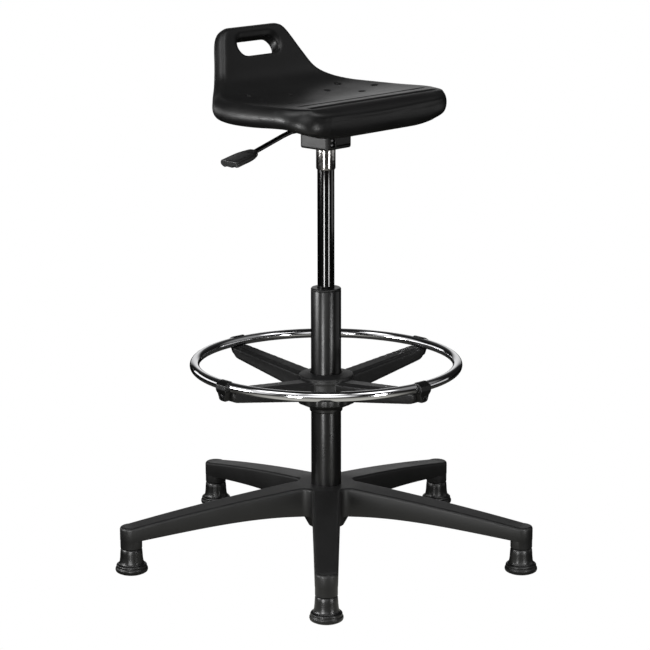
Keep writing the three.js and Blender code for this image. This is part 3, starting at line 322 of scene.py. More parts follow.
# %% [markdown]
# ### Moulded shapes
# A plastic moulding has no sharp edge anywhere. Bevels on a shape with many cuts tangle, so
# such a shape is turned into a fine even skin by a voxel remesh, which also joins what overlaps,
# and a few passes of smoothing then round all its edges alike.


def bridged(loops):
    """A closed skin through a row of closed loops."""
    shape = bmesh.new()
    rings = []
    for spots in loops:
        verts = [shape.verts.new(spot) for spot in spots]
        rings.append([shape.edges.new((a, b)) for a, b in zip(verts, verts[1:] + verts[:1])])
    for here, after in zip(rings, rings[1:]):
        bmesh.ops.bridge_loops(shape, edges=here + after)
    for ring in (rings[0], rings[-1]):
        bmesh.ops.triangle_fill(shape, edges=ring, use_beauty=True)
    bmesh.ops.remove_doubles(shape, verts=shape.verts, dist=0.01)
    bmesh.ops.recalc_face_normals(shape, faces=shape.faces)
    return shape


def joined(*shapes):
    """One bmesh that holds several; the shapes that go in are used up."""
    whole = bmesh.new()
    for shape in shapes:
        mesh = bpy.data.meshes.new("part")
        shape.to_mesh(mesh)
        shape.free()
        whole.from_mesh(mesh)
        bpy.data.meshes.remove(mesh)
    return whole


def helper_object(name, shape):
    mesh = bpy.data.meshes.new(name)
    shape.to_mesh(mesh)
    shape.free()
    helper = bpy.data.objects.new(name, mesh)
    bpy.context.scene.collection.objects.link(helper)
    return helper


def baked(helper):
    """The object's mesh with its modifiers applied, as a bmesh; the object is removed."""
    bpy.context.view_layer.update()
    graph = bpy.context.evaluated_depsgraph_get()
    mesh = bpy.data.meshes.new_from_object(helper.evaluated_get(graph))
    bpy.data.objects.remove(helper)
    shape = bmesh.new()
    shape.from_mesh(mesh)
    bpy.data.meshes.remove(mesh)
    return shape


def worked(operation, shape, *others):
    """The shape less each other one, or fused with each."""
    helper = helper_object("stock", shape)
    tools = [helper_object("tool", other) for other in others]
    for tool in tools:
        work = helper.modifiers.new("work", "BOOLEAN")
        work.solver = "EXACT"
        work.operation = operation
        work.use_self = operation == "UNION"
        work.object = tool
    result = baked(helper)
    for tool in tools:
        bpy.data.objects.remove(tool)
    return result


def cut_by(shape, *cutters):
    return worked("DIFFERENCE", shape, *cutters)


def smoothed(shape, verts, passes):
    for _ in range(passes):
        bmesh.ops.smooth_vert(shape, verts=verts, factor=0.5, use_axis_x=True, use_axis_y=True,
                              use_axis_z=True)


def moulded(shape, voxel, passes):
    """The shape as one even skin with its edges rounded by smoothing."""
    helper = helper_object("moulding", shape)
    remesh = helper.modifiers.new("remesh", "REMESH")
    remesh.mode = "VOXEL"
    remesh.voxel_size = voxel * 1
    skin = baked(helper)
    smoothed(skin, skin.verts, passes)
    return skin


def cad_copy(*nodes):
    """CAD solids as one bmesh in millimetres about the column, with their corners merged."""
    shape = bmesh.new()
    for node in nodes:
        shape.from_mesh(frame["nodes"][node].data)
    bmesh.ops.transform(shape, matrix=PLACE.inverted(), verts=shape.verts)
    bmesh.ops.remove_doubles(shape, verts=shape.verts, dist=0.001)
    return shape


# %% [markdown]
# ## Foot ring
# The ring is one length of round tube, rolled to a circle, welded shut, ground and chromed. The
# CAD ring is a coarse torus whose flats would break up the reflections. A circle spun about the
# column's axis makes the same ring with enough faces for an even shine.

# %% Foot ring
def ring_of_tube(radius, sides, steps):
    shape = bmesh.new()
    bmesh.ops.create_circle(shape, segments=sides, radius=radius,
                            matrix=Matrix.Translation((RING_RADIUS, 0, RING_HEIGHT))
                            @ Matrix.Rotation(math.pi / 2, 4, "X"))
    bmesh.ops.spin(shape, geom=shape.verts[:] + shape.edges[:], axis=(0, 0, 1),
                   cent=(0, 0, 0), angle=math.tau, steps=steps, use_merge=True)
    bmesh.ops.remove_doubles(shape, verts=shape.verts, dist=0.001)
    bmesh.ops.recalc_face_normals(shape, faces=shape.faces)
    return shape


finished("foot_ring", ring_of_tube(RING_TUBE, 28, 180), "foot_ring", chrome,
         ["foot_ring_tube"])

# %% [markdown]
# ## Column and gas lift
# The column is a steel tube with a plastic bush in its mouth. The gas cylinder slides in the
# bush, and the mechanism's socket grips the cylinder's tapered top. Stacked cylinders would need
# cuts for the bores, so each is a profile spun about the axis, with its corners rounded.

# %% Column and gas lift
lathe_work = [
    ("column", "base", paint, "enamel", "column_tube", 0.8,
     [(21.6, 47), (23.6, 47), (25, 117), (25, 452), (23, 452), (23, 117)]),
    ("column_bush", "base", dark_nylon, "nylon", "guide_bush", 0.9,
     [(14.3, 357), (22.7, 357), (22.7, 452.3), (25, 452.3), (25, 453.6), (23.8, 455.5),
      (14.3, 455.5)]),
    ("lift_cylinder", "seat", gloss, "enamel", "gas_cylinder", 0.4,
     [(12.2, 338), (14, 338), (14, 654), (13.1, 706), (3.3, 706), (3.3, 702.4), (11.3, 702.4),
      (12.2, 654)]),
    ("lift_socket", "seat", steel, "chrome", "taper_socket", 0.5,
     [(14.3, 652), (14.9, 652), (15.9, 654.4), (15.9, 713), (10, 713), (10, 706.3),
      (13.4, 706.3), (14.3, 654)]),
]
for name, body, look, slot, node, width, profile in lathe_work:
    finished(name, spun(profile, closed=True, width=width), body, look, [node])

# %% [markdown]
# ## Glides
# Each foot is a turned nylon cup with a flange in two steps, over a soft sole. It could be
# copied from the CAD model, but its beads need more faces than that has. The legs of the base
# are level at their ends, so all five glides are the same profile spun at five places.

# %% Glides
CUP = [(0, 4.6), (22.8, 4.6), (22.8, 1.6), (24.2, 1.6), (26, 3), (26.8, 5.4), (26.6, 8.2),
       (25.2, 9.9), (24.7, 10.8), (25.2, 11.6), (25, 13.4), (23.8, 14.8), (21.6, 15.6),
       (20.3, 17.4), (19.4, 21), (18.7, 27), (18.3, 34), (17.8, 39.6), (16.8, 41.4), (15.2, 42),
       (8.3, 42), (8.3, 39.1), (5.8, 39.1), (5.8, 16), (0, 16)]
SOLE = [(0, 0), (20.9, 0), (22.5, 1.6), (22.5, 4.3), (0, 4.3)]
for number in range(1, LEG_COUNT + 1):
    angle = LEG_TURN + (number - 1) * math.tau / LEG_COUNT
    centre = (FOOT_REACH * math.cos(angle), FOOT_REACH * math.sin(angle))
    finished(f"glide_cup_{number}", spun(CUP, steps=48, width=0.4, centre=centre),
             f"glide_{number}", dark_nylon, [f"glide_foot_{number}"], smooth=50)
    finished(f"glide_pad_{number}", spun(SOLE, steps=48, width=0.3, centre=centre),
             f"glide_{number}", rubber, [f"glide_sole_{number}"])

# %% [markdown]
# ## Five-leg base
# The base is one nylon moulding, open below, with ribs in its legs. Five single legs could be
# joined, but the joints would show. Its outline is instead one closed curve round all five legs,
# with a fillet in each corner, so the legs flow into each other as in the mould.

# %% The outline of the legs
BOSS_BOTTOM = 42.4
LEG_TOP_ROOT = BOSS_BOTTOM + 79.1
LEG_TOP_END = BOSS_BOTTOM + 36.6
LEG_TOP_ARCH = 2.5
LEG_UNDER = [BOSS_BOTTOM + rise for rise in (30.6, 37.6, 23.6, 13.1)]
LEG_HALF_ROOT = 23.5
LEG_HALF_END = 18.2
LEG_FILLET = 14
LEG_EDGE = 4.5
LEG_WALL = 4.5
LEG_RIB = 3.5
HALF_TURN = math.pi / LEG_COUNT
LEG_ROOT = (LEG_HALF_ROOT + LEG_FILLET) / math.tan(HALF_TURN)
LEG_STEPS = 20
LEG_END_STEPS = 16
LEG_CORNER_STEPS = 10


def between(low, high, share):
    return low + (high - low) * share


def leg_top(share):
    return between(LEG_TOP_ROOT, LEG_TOP_END, share) + LEG_TOP_ARCH * 4 * share * (1 - share)


def leg_under(share):
    a, b, c, d = LEG_UNDER
    rest = 1 - share
    return (rest ** 3 * a + 3 * rest * rest * share * b + 3 * rest * share * share * c
            + share ** 3 * d)


def leg_half(share):
    return between(LEG_HALF_ROOT, LEG_HALF_END, share)


def along_leg(share):
    return between(LEG_ROOT, FOOT_REACH, share)


def star_loop(inset, height_at):
    """The outline of the five legs, drawn in by inset, with each point at its own height."""
    leg = [(along_leg(step / LEG_STEPS), inset - leg_half(step / LEG_STEPS), step / LEG_STEPS)
           for step in range(LEG_STEPS + 1)]
    radius = LEG_HALF_END - inset
    for step in range(1, LEG_END_STEPS):
        turn = math.pi * (step / LEG_END_STEPS - 0.5)
        leg.append((FOOT_REACH + radius * math.cos(turn), radius * math.sin(turn), 1))
    leg += [(along, -across, share) for along, across, share in reversed(leg[:LEG_STEPS + 1])]
    corner = (LEG_HALF_ROOT + LEG_FILLET) / math.sin(HALF_TURN)
    for step in range(1, LEG_CORNER_STEPS):
        sweep = math.pi - 2 * HALF_TURN
        turn = math.pi + HALF_TURN + sweep * (0.5 - step / LEG_CORNER_STEPS)
        leg.append((corner * math.cos(HALF_TURN) + (LEG_FILLET + inset) * math.cos(turn),
                    corner * math.sin(HALF_TURN) + (LEG_FILLET + inset) * math.sin(turn), 0))
    loop = []
    for number in range(LEG_COUNT):
        angle = LEG_TURN + number * math.tau / LEG_COUNT
        loop += [(x * math.cos(angle) - y * math.sin(angle),
                  x * math.sin(angle) + y * math.cos(angle), height_at(share))
                 for x, y, share in leg]
    return loop


print("leg outline", len(star_loop(0, leg_top)), "points")

# %% [markdown]
# ### The base in one skin
# The outline is drawn once for each level. The levels are bridged from the inside of the legs
# down over the rim and up the outside to the rounded top edge, which makes a hollow skin. The
# hub, the ribs and the bosses for the glides are solid shapes that are then fused with it.


# %% The base in one skin
RIM = 0.9
RIB_HEIGHT_ABOVE_RIM = 5
CROSS_RIBS = (0.3, 0.6)
BOSS_INSET = 0.3
BOSS_SINK = 3
TUBE_HOLE = 25.3


def edge_loop(share):
    turn = share * math.pi / 2
    drop = LEG_EDGE * (1 - math.sin(turn))
    return star_loop(LEG_EDGE * (1 - math.cos(turn)), lambda along: leg_top(along) - drop)


def block(low, high, turn=0):
    """A box between two corners, turned about the column."""
    shape = bmesh.new()
    bmesh.ops.create_cube(shape, size=1)
    size = [b - a for a, b in zip(low, high)]
    middle = [(a + b) / 2 for a, b in zip(low, high)]
    bmesh.ops.scale(shape, vec=size, verts=shape.verts)
    bmesh.ops.translate(shape, vec=middle, verts=shape.verts)
    rotated(shape, turn)
    return shape


def leg_ribs(number):
    angle = LEG_TURN + number * math.tau / LEG_COUNT
    shares = [step / LEG_STEPS for step in range(LEG_STEPS + 1)]
    outline = [(along_leg(share), leg_under(share) + RIB_HEIGHT_ABOVE_RIM) for share in shares]
    outline += [(along_leg(share), leg_top(share) - LEG_WALL / 2) for share in reversed(shares)]
    rib = bridged([[(x, side * LEG_RIB / 2, z) for x, z in outline] for side in (-1, 1)])
    rotated(rib, angle)
    cross = [block((along_leg(share) - LEG_RIB / 2, LEG_WALL / 2 - leg_half(share),
                    leg_under(share) + RIB_HEIGHT_ABOVE_RIM),
                   (along_leg(share) + LEG_RIB / 2, leg_half(share) - LEG_WALL / 2,
                    leg_top(share) - LEG_WALL / 2), angle) for share in CROSS_RIBS]
    centre = (FOOT_REACH * math.cos(angle), FOOT_REACH * math.sin(angle))
    radius, top = LEG_HALF_END - BOSS_INSET, LEG_TOP_END - BOSS_SINK
    boss = spun([(0, BOSS_BOTTOM), (radius, BOSS_BOTTOM), (radius, top), (0, top)], steps=48,
                width=0.8, centre=centre)
    return [rib, *cross, boss]


def rim_loop(inset, rise):
    return star_loop(inset, lambda share: leg_under(share) + rise)


star = bridged([star_loop(LEG_WALL, lambda share: leg_top(share) - LEG_WALL),
                rim_loop(LEG_WALL, RIM), rim_loop(LEG_WALL - RIM / 3, RIM / 3),
                rim_loop(LEG_WALL - RIM, 0), rim_loop(RIM, 0), rim_loop(RIM / 3, RIM / 3),
                rim_loop(0, RIM), *[edge_loop(step / 5) for step in range(6)],
                star_loop(LEG_EDGE + 1, leg_top)])
star = cut_by(star, spun([(0, 40), (TUBE_HOLE, 40), (TUBE_HOLE, 130), (0, 130)], width=0))
hub = spun([(23.9, 50), (30, 50), (38, 65), (38, 119), (25.4, 119), (25.4, 117)],
           closed=True, width=0)
ribs = joined(*[rib for number in range(LEG_COUNT) for rib in leg_ribs(number)])
finished("moulded_base", worked("UNION", star, joined(hub, ribs)), "base", nylon,
         ["base_star"])

# %% [markdown]
# ## Spider of the foot ring
# The spider is a nylon hub with four arms that rise to the ring. The hub's top is a gentle cone,
# its front shows two fine beads, and each arm has a raised deck and a rounded heel. The hub is
# spun, each arm is bridged from its sections, and the remesh blends them.


# %% Spider
HUB_RADIUS = 45.9
HUB_FLOOR = 277
NUT_CLEARANCE = 49.6
HUB = [(25.6, 313.4), (27.5, 312.6), (33, 311.2), (40, 310.2), (45, 309.4), (HUB_RADIUS, 308.2),
       (HUB_RADIUS, 306.6), (44.7, 305.6), (44.7, 304.4), (HUB_RADIUS, 303.4),
       (HUB_RADIUS, 301.4), (44.9, 300.4), (44.9, HUB_FLOOR), (30.9, HUB_FLOOR), (30.9, 300),
       (25.6, 300)]
ARM_HEEL = 11
ARM_STEP = 3.5


def arm_section(along):
    share = max(0, (along - HUB_RADIUS) / (RING_RADIUS - HUB_RADIUS))
    half = between(18, 15.5, share)
    deck = between(12.5, 10.5, share)
    top = RING_HEIGHT - between(22, 5.5, share)
    shoulder = top - ARM_STEP
    heel = max(0, along - (RING_RADIUS - ARM_HEEL))
    under = max(HUB_FLOOR if along <= NUT_CLEARANCE else 0,
                RING_HEIGHT - between(55, 26.2, share))
    under += ARM_HEEL - math.sqrt(max(0, ARM_HEEL ** 2 - heel ** 2))
    side = [(half - 3, under), (half, under + 3), (half, shoulder), (deck + 0.8, shoulder + 0.6),
            (deck, top)]
    return [(along, y, z) for y, z in side] + [(along, -y, z) for y, z in reversed(side)]


def arm(number):
    ends = [RING_RADIUS - ARM_HEEL + ARM_HEEL * share for share in (0.3, 0.5, 0.7, 0.85, 0.95)]
    stations = [36.6, NUT_CLEARANCE, NUT_CLEARANCE + 2, 80, 110, 140, 170, 195,
                RING_RADIUS - ARM_HEEL, *ends, RING_RADIUS - 0.4]
    shape = bridged([arm_section(along) for along in stations])
    rotated(shape, ARM_TURN + number * math.tau / ARM_COUNT)
    return shape


arms = joined(*[arm(number) for number in range(ARM_COUNT)])
arms = cut_by(arms, ring_of_tube(RING_TUBE + 0.5, 24, 120),
              spun([(0, 270), (31, 270), (31, 320), (0, 320)], width=0))
spider = moulded(joined(arms, spun(HUB, closed=True, width=0, steps=96)), 1.5, 3)
finished("spider", spider, "foot_ring", nylon, ["foot_ring_spider"], smooth=180)

# %% [markdown]
# ## Jaws, lever and housing
# These small mouldings already have the right form in the CAD model, only with hard edges, and
# a bevel would tangle at their small cuts. Each is copied, and the remesh and smoothing round it.

# %% Jaws, lever and housing
powder = finish("powder_coat", grey(0.009), grey(0.014), 0.42, 900, 0.15, 0.15, dusty=0.02)
for number in range(1, ARM_COUNT + 1):
    jaw = moulded(cad_copy(f"ring_jaw_{number}"), 0.7, 3)
    finished(f"jaw_{number}", jaw, "foot_ring", dark_nylon, [f"ring_jaw_{number}"],
             smooth=180)
finished("housing", moulded(cad_copy("mechanism_housing"), 0.8, 3), "seat", powder,
         ["mechanism_housing"], smooth=60)
finished("release_rod", moulded(cad_copy("lever_rod"), 0.6, 4), "lever", gloss,
         ["lever_rod"], smooth=180)

# %% [markdown]
# ### Screws in the housing's window
# The window in the housing's front shows a bracket with two small screws. The CAD model leaves
# them out. The bracket is a bevelled plate that stands on the housing's floor, and each screw
# head is a spun dome that is laid on its face.

# %% Screws in the housing's window
BRACKET_FACE = -26
bracket = block((-27.4, BRACKET_FACE, 690.3), (-8.5, BRACKET_FACE + 2, 716))
round_edges(bracket, 0.4)
finished("window_bracket", bracket, "seat", powder)
for number, height in enumerate((703.2, 695.6), 1):
    head = spun([(0, -0.2), (2.6, -0.2), (2.6, 0.9), (1.9, 1.7), (0, 2)], steps=24, width=0.2)
    rotated(head, math.pi / 2, "X")
    bmesh.ops.translate(head, vec=(-15, BRACKET_FACE, height), verts=head.verts)
    finished(f"window_screw_{number}", head, "seat", zinc)

# %% [markdown]
# ### Lever handle
# The handle is a flat paddle on the rod's end. It widens from a round neck, its top has a
# sunken panel with a border, and fingers find three flutes below its end. Its sections are
# bridged from the neck out, and the panel is pressed into the finished skin.

# %% Lever handle
PADDLE_LENGTH = 59
PADDLE_HALF_NECK = 8
PADDLE_HALF_END = 19
PADDLE_HALF_THICK = 6
PADDLE_SLOPE = math.radians(-12)
PANEL_START = 0.16
PANEL_END = 0.93
PANEL_BORDER = 3.6
PANEL_DEPTH = 0.9
PANEL_ABOVE = 3.5
NECK_SPOT = Vector((-168, 0, 699.7))


def paddle_half(share):
    widened = 1 - (1 - 2 * share) ** 2 if share < 0.5 else 1
    return between(PADDLE_HALF_NECK, PADDLE_HALF_END, widened)


def paddle_section(share):
    closing = 0.9 if share > 0.97 else 1
    thick = between(0.9, 1.05, share) * PADDLE_HALF_THICK * closing * (0.86 if share == 0 else 1)
    rise_share = min(1, max(0, (share - 0.45) / 0.4))
    flute = 2 * rise_share * rise_share * (3 - 2 * rise_share)
    spots = []
    for step in range(56):
        turn = math.tau * step / 56
        across = math.copysign(abs(math.cos(turn)) ** 0.5, math.cos(turn)) * paddle_half(share)
        rise = math.copysign(abs(math.sin(turn)) ** 0.5, math.sin(turn)) * thick
        wave = 0.5 - 0.5 * math.cos(math.pi * 2.5 * (across / PADDLE_HALF_END + 1))
        spots.append((-share * PADDLE_LENGTH, across * closing,
                      rise + (flute * wave if rise < 0 else 0)))
    return spots


paddle = moulded(bridged([paddle_section(step / 24) for step in range(25)]), 0.6, 3)
for vert in paddle.verts:
    share = -vert.co.x / PADDLE_LENGTH
    border = min(share - PANEL_START, PANEL_END - share) * PADDLE_LENGTH
    border = min(border, paddle_half(max(0, share)) - PANEL_BORDER - abs(vert.co.y))
    if vert.co.z > PANEL_ABOVE and border > 0:
        vert.co.z -= min(PANEL_DEPTH, border)
rotated(paddle, PADDLE_SLOPE, "Y")
bmesh.ops.translate(paddle, vec=NECK_SPOT, verts=paddle.verts)
# The handle takes the lighter nylon copy: painted light for the light that falls on it.
finished("release_handle", paddle, "lever", worn_and_painted_light_nylon, ["lever_handle"], smooth=180)

# %% [markdown]
# ## Clamp nut
# The nut under the spider is turned by hand, so its rim has sixteen shallow grips. Sixteen cuts
# would leave sharp lips. The profile is spun with many steps instead, and the rim's points are
# then drawn in by a wave round the axis.

# %% Clamp nut
NUT_GRIPS = 16
GRIP_DEPTH = 1.6
GRIP_START = 46
NUT = [(25.6, 247.2), (26.2, 246.7), (27.4, 248.3), (27.4, 253.2), (45.8, 262.2), (47.6, 262.6),
       (49, 264), (49, 269), (49, 275), (47.8, 276.7), (30.9, 276.7), (30.9, 262.1), (25.6, 262.1)]
nut = spun(NUT, closed=True, steps=192, width=0.4)
for vert in nut.verts:
    radius = math.hypot(vert.co.x, vert.co.y)
    if radius > GRIP_START:
        turn = math.atan2(vert.co.y, vert.co.x)
        wave = (1 - math.cos(NUT_GRIPS * turn)) / 2
        narrow = 1 - GRIP_DEPTH * wave * min(1, (radius - GRIP_START) / 2) / radius
        vert.co.x *= narrow
        vert.co.y *= narrow
finished("clamp_nut", nut, "clamp_nut", dark_nylon, ["ring_clamp_nut"], smooth=50)

# %% [markdown]
# ## Plate, board and fasteners
# The pieces under the seat are cut sheet and stock fasteners. Their CAD shapes only lack the
# small break on each edge that any real edge has, so each copy has its flat faces joined up
# and its edges bevelled.


# %% Plate, board and fasteners
def eased(node, name, body, look, width):
    shape = cad_copy(node)
    bmesh.ops.dissolve_limit(shape, angle_limit=math.radians(1), use_dissolve_boundaries=False,
                             verts=shape.verts, edges=shape.edges)
    round_edges(shape, width, segments=2, over=35)
    finished(name, shape, body, look, [node])


eased("seat_plate", "mounting_plate", "seat", powder, 0.4)
eased("seat_board", "moulded_in_board", "seat", plywood, 0.6)
for number in range(1, 5):
    eased(f"seat_screw_{number}", f"plate_screw_{number}", "seat", zinc, 0.3)
    eased(f"jaw_screw_{number}", f"clip_screw_{number}", "foot_ring", paint, 0.3)

# %% [markdown]
# ## Moulded seat
# The seat is one skin of foam, cast in a mould: a level nose, a dished pan and a back lip with a
# hole to carry it by. It could be sculpted, but its form is regular across its width, so a row
# of closed sections is bridged into a skin. Each row of the table gives the top and the
# underside as shares of the depth and of the lip's rise, the half width, and how far the top's
# edge and the underside's edge rise.

# %% Seat sections
SEAT_DEPTH = 314
SEAT_HALF_WIDTH = 190
SEAT_LEVEL = 776
LIP_RISE = 98
SIDE_ROUND = 17
UNDER_FLAT = 85
SEAT_ROWS = [
    [0.408, -0.245, 0.408, -0.245, 0.640, 0.000, 0.000],
    [0.404, -0.133, 0.401, -0.378, 0.765, 0.000, 0.030],
    [0.385, -0.051, 0.382, -0.488, 0.850, 0.000, 0.070],
    [0.344, 0.000, 0.341, -0.540, 0.925, 0.000, 0.120],
    [0.274, 0.005, 0.280, -0.525, 0.975, 0.000, 0.150],
    [0.197, -0.010, 0.204, -0.409, 0.990, 0.020, 0.060],
    [0.000, -0.097, 0.000, -0.408, 0.985, 0.090, 0.030],
    [-0.159, -0.087, -0.175, -0.408, 0.960, 0.085, 0.030],
    [-0.271, -0.031, -0.306, -0.357, 0.880, 0.060, 0.025],
    [-0.345, 0.082, -0.400, -0.163, 0.740, 0.035, 0.020],
    [-0.395, 0.235, -0.461, 0.061, 0.620, 0.025, 0.010],
    [-0.437, 0.490, -0.505, 0.347, 0.535, 0.020, 0.000],
    [-0.477, 0.745, -0.546, 0.612, 0.468, 0.015, 0.000],
    [-0.499, 0.898, -0.568, 0.765, 0.420, 0.010, 0.000],
    [-0.513, 0.969, -0.567, 0.888, 0.370, 0.005, 0.000],
    [-0.538, 0.995, -0.538, 0.995, 0.290, 0.000, 0.000],
]


def row_at(place):
    """The row at any place in the table, on a smooth curve through the rows."""
    last = len(SEAT_ROWS) - 1
    base = min(int(place), last - 1)
    share = place - base
    rest = 1 - share
    before, here, after, beyond = (
        SEAT_ROWS[min(max(base + step, 0), last)] for step in (-1, 0, 1, 2))
    values = []
    for a, b, c, d in zip(before, here, after, beyond):
        first, second = b + (c - a) / 6, c - (d - b) / 6
        values.append(rest ** 3 * b + 3 * rest * rest * share * first
                      + 3 * rest * share * share * second + share ** 3 * c)
    return values


def section(place):
    top_along, top_rise, under_along, under_rise = row_at(place)[:4]
    top = Vector((top_along * SEAT_DEPTH, SEAT_LEVEL + top_rise * LIP_RISE))
    under = Vector((under_along * SEAT_DEPTH, SEAT_LEVEL + under_rise * LIP_RISE))
    thick = top - under
    up = thick.normalized() if thick.length > 1e-6 else Vector((0, 1))
    return (top + under) / 2, thick.length / 2, up


ACROSS_STEPS = 36
ROUND_STEPS = 10


def section_loop(place):
    width, crest, lift = row_at(place)[4:]
    middle, half, up = section(place)
    side = min(half, SIDE_ROUND)
    flat = width * SEAT_HALF_WIDTH - side
    reach = SEAT_HALF_WIDTH - UNDER_FLAT
    end = max(0, flat - UNDER_FLAT) / reach
    top_edge = half + crest * LIP_RISE
    under_edge = (lift * LIP_RISE if end > 0 else 0) - half
    spots = []
    for step in range(ACROSS_STEPS + 1):
        across = flat * (2 * step / ACROSS_STEPS - 1)
        spots.append((across, half + crest * LIP_RISE * abs(across / flat) ** 2.5))
    turns = [math.pi * (0.5 - (step + 1) / ROUND_STEPS) for step in range(ROUND_STEPS - 1)]
    centre, radius = (top_edge + under_edge) / 2, (top_edge - under_edge) / 2
    spots += [(flat + side * math.cos(t), centre + radius * math.sin(t)) for t in turns]
    for step in range(ACROSS_STEPS + 1):
        across = flat * (1 - 2 * step / ACROSS_STEPS)
        past = max(0, abs(across) - UNDER_FLAT) / reach
        spots.append((across, -half + (lift * LIP_RISE * (past / end) ** 2 if end > 0 else 0)))
    spots += [(-flat - side * math.cos(t), centre - radius * math.sin(t)) for t in turns]
    return [(x, -(middle.x + up.x * rise), middle.y + up.y * rise) for x, rise in spots]


# %% [markdown]
# ### Skin and cuts
# The sections are bridged into a skin. The handle hole and the pocket for the board come from
# boolean cuts, and a fine voxel remesh then joins everything into one even skin, which a little
# smoothing relaxes as foam does in a mould. The two front corners, where the side runs into the
# deeper nose, get more of it.

# %% Skin and cuts
HANDLE_ROW = 11.75
HANDLE_HALF_LENGTH = 46
HANDLE_HALF_HEIGHT = 15
HANDLE_FLARE = 7
CORNER_PASSES = 40
CORNER_ACROSS = 130
CORNER_FORWARD = 60
CORNER_TOP = 774
POCKET_HALF = (112.8, 59.8)
POCKET_TOP = 749
POCKET_CORNER = 22


def handle_cutter():
    middle, half, up = section(HANDLE_ROW)
    throat = half - HANDLE_FLARE
    straight = HANDLE_HALF_LENGTH - HANDLE_HALF_HEIGHT
    loops = []
    for share in (-1.3, -1, -0.9, -0.75, -0.6, -0.4, 0, 0.4, 0.6, 0.75, 0.9, 1, 1.3):
        depth = share * half
        past = min(1, max(0, abs(depth) - throat) / HANDLE_FLARE)
        radius = HANDLE_HALF_HEIGHT + HANDLE_FLARE * (1 - math.sqrt(1 - past * past))
        ends = []
        for sign in (1, -1):
            for step in range(17):
                turn = math.pi * (step / 16 - 0.5)
                ends.append((sign * (straight + radius * math.cos(turn)), -depth,
                             sign * radius * math.sin(turn)))
        loops.append(ends)
    shape = bridged(loops)
    lean = Matrix.Rotation(-math.atan2(up.y, up.x), 4, "X")
    bmesh.ops.transform(shape, matrix=Matrix.Translation((0, -middle.x, middle.y)) @ lean,
                        verts=shape.verts)
    return shape


def board_cutter():
    x, y = POCKET_HALF
    shape = block((-x, -y, 687), (x, y, POCKET_TOP))
    upright = [e for e in shape.edges if abs(e.verts[0].co.z - e.verts[1].co.z) > 1]
    bmesh.ops.bevel(shape, geom=upright, offset=POCKET_CORNER, segments=8, profile=0.5,
                    affect="EDGES", material=-1)
    return shape


skin = cut_by(bridged([section_loop(step / 5) for step in range(76)]), handle_cutter(),
              board_cutter())
seat = moulded(skin, 2.0, 6)
corners = [vert for vert in seat.verts if abs(vert.co.x) > CORNER_ACROSS
           and vert.co.y < -CORNER_FORWARD and vert.co.z < CORNER_TOP]
smoothed(seat, corners, CORNER_PASSES)
print("seat skin", len(seat.faces), "faces,", len(corners), "points eased at the nose")

# %% [markdown]
# ### Grooves, crease and vents
# Two grooves run across the front, a soft crease follows the nose, and small dimples let the
# air out of the mould. The grooves and dimples are hardly wider than the skin's faces, so the
# faces near them are split first. Each point then sinks or swells by a smooth function of its
# distance. A groove is a place forward of the column, a depth and a half width.

# %% Grooves, crease and vents
GROOVES = [(78, 1.6, 3.6), (103, 2.6, 7)]
GROOVE_END = 158
GROOVE_FADE = 14
VENTS = [(112, -74), (66, -56), (146, -23), (98, -8), (-94, -81), (-110, -38), (-12, -66)]
VENT_RADIUS = 7.5
VENT_DEPTH = 3.4
CREASE_HEIGHT = 761.3
CREASE_MIDDLE = -15
CREASE_RISE = 4.5
CREASE_SPAN = 120
CREASE_SWELL = 1.6
CREASE_WIDTH = 9
CREASE_END = 168
CREASE_FADE = 30
TOP_LEVEL = 740
TOP_SLOPE = 0.4
NOSE_FORWARD = 110
NOSE_SLOPE = 0.35
SPLIT_MARGIN = 3


def bell(distance, width):
    share = abs(distance) / width
    return (1 - share * share) ** 2 if share < 1 else 0


def dent_depth(spot):
    x, forward = spot.x, -spot.y
    ends = min(1, max(0, (GROOVE_END - abs(x)) / GROOVE_FADE))
    depth = sum(deep * ends * bell(forward - at, wide) for at, deep, wide in GROOVES)
    for across, along in VENTS:
        depth += VENT_DEPTH * bell(math.hypot(x - across, forward - along), VENT_RADIUS)
    return depth


def crease_height(x):
    return CREASE_HEIGHT + CREASE_RISE * (abs(x - CREASE_MIDDLE) / CREASE_SPAN) ** 1.5


def near_detail(face):
    centre = face.calc_center_median()
    if face.normal.z < TOP_SLOPE or centre.z < TOP_LEVEL:
        return False
    forward = -centre.y
    in_groove = any(abs(forward - at) < wide + SPLIT_MARGIN for at, _, wide in GROOVES)
    if in_groove and abs(centre.x) < GROOVE_END + 4:
        return True
    return any(math.hypot(centre.x - across, forward - along) < VENT_RADIUS + SPLIT_MARGIN
               for across, along in VENTS)


seat.normal_update()
close = dict.fromkeys(edge for face in seat.faces if near_detail(face) for edge in face.edges)
bmesh.ops.subdivide_edges(seat, edges=list(close), cuts=1, use_grid_fill=True)
seat.normal_update()
moves = []
for vert in seat.verts:
    if vert.normal.z > TOP_SLOPE and vert.co.z > TOP_LEVEL:
        depth = dent_depth(vert.co)
        if depth > 0:
            moves.append((vert, -depth * vert.normal))
    if vert.normal.y < -NOSE_SLOPE and vert.co.y < -NOSE_FORWARD:
        gap = vert.co.z - crease_height(vert.co.x)
        fade = min(1, max(0, (CREASE_END - abs(vert.co.x)) / CREASE_FADE))
        swell = CREASE_SWELL * fade * bell(gap, CREASE_WIDTH)
        moves.append((vert, Vector((0, -swell, 0))))
for vert, shift in moves:
    vert.co += shift
print(len(close), "edges split,", len(moves), "points moved")
seat_piece = finished("moulded_seat", seat, "seat", foam, ["seat_foam"], smooth=180)

# %% [markdown]
# ## Finishes on the CAD nodes
# The small hidden pieces, such as the piston and the glides' stems, are already right in the CAD
# model. They only get a finish, which their slot in the record gives.

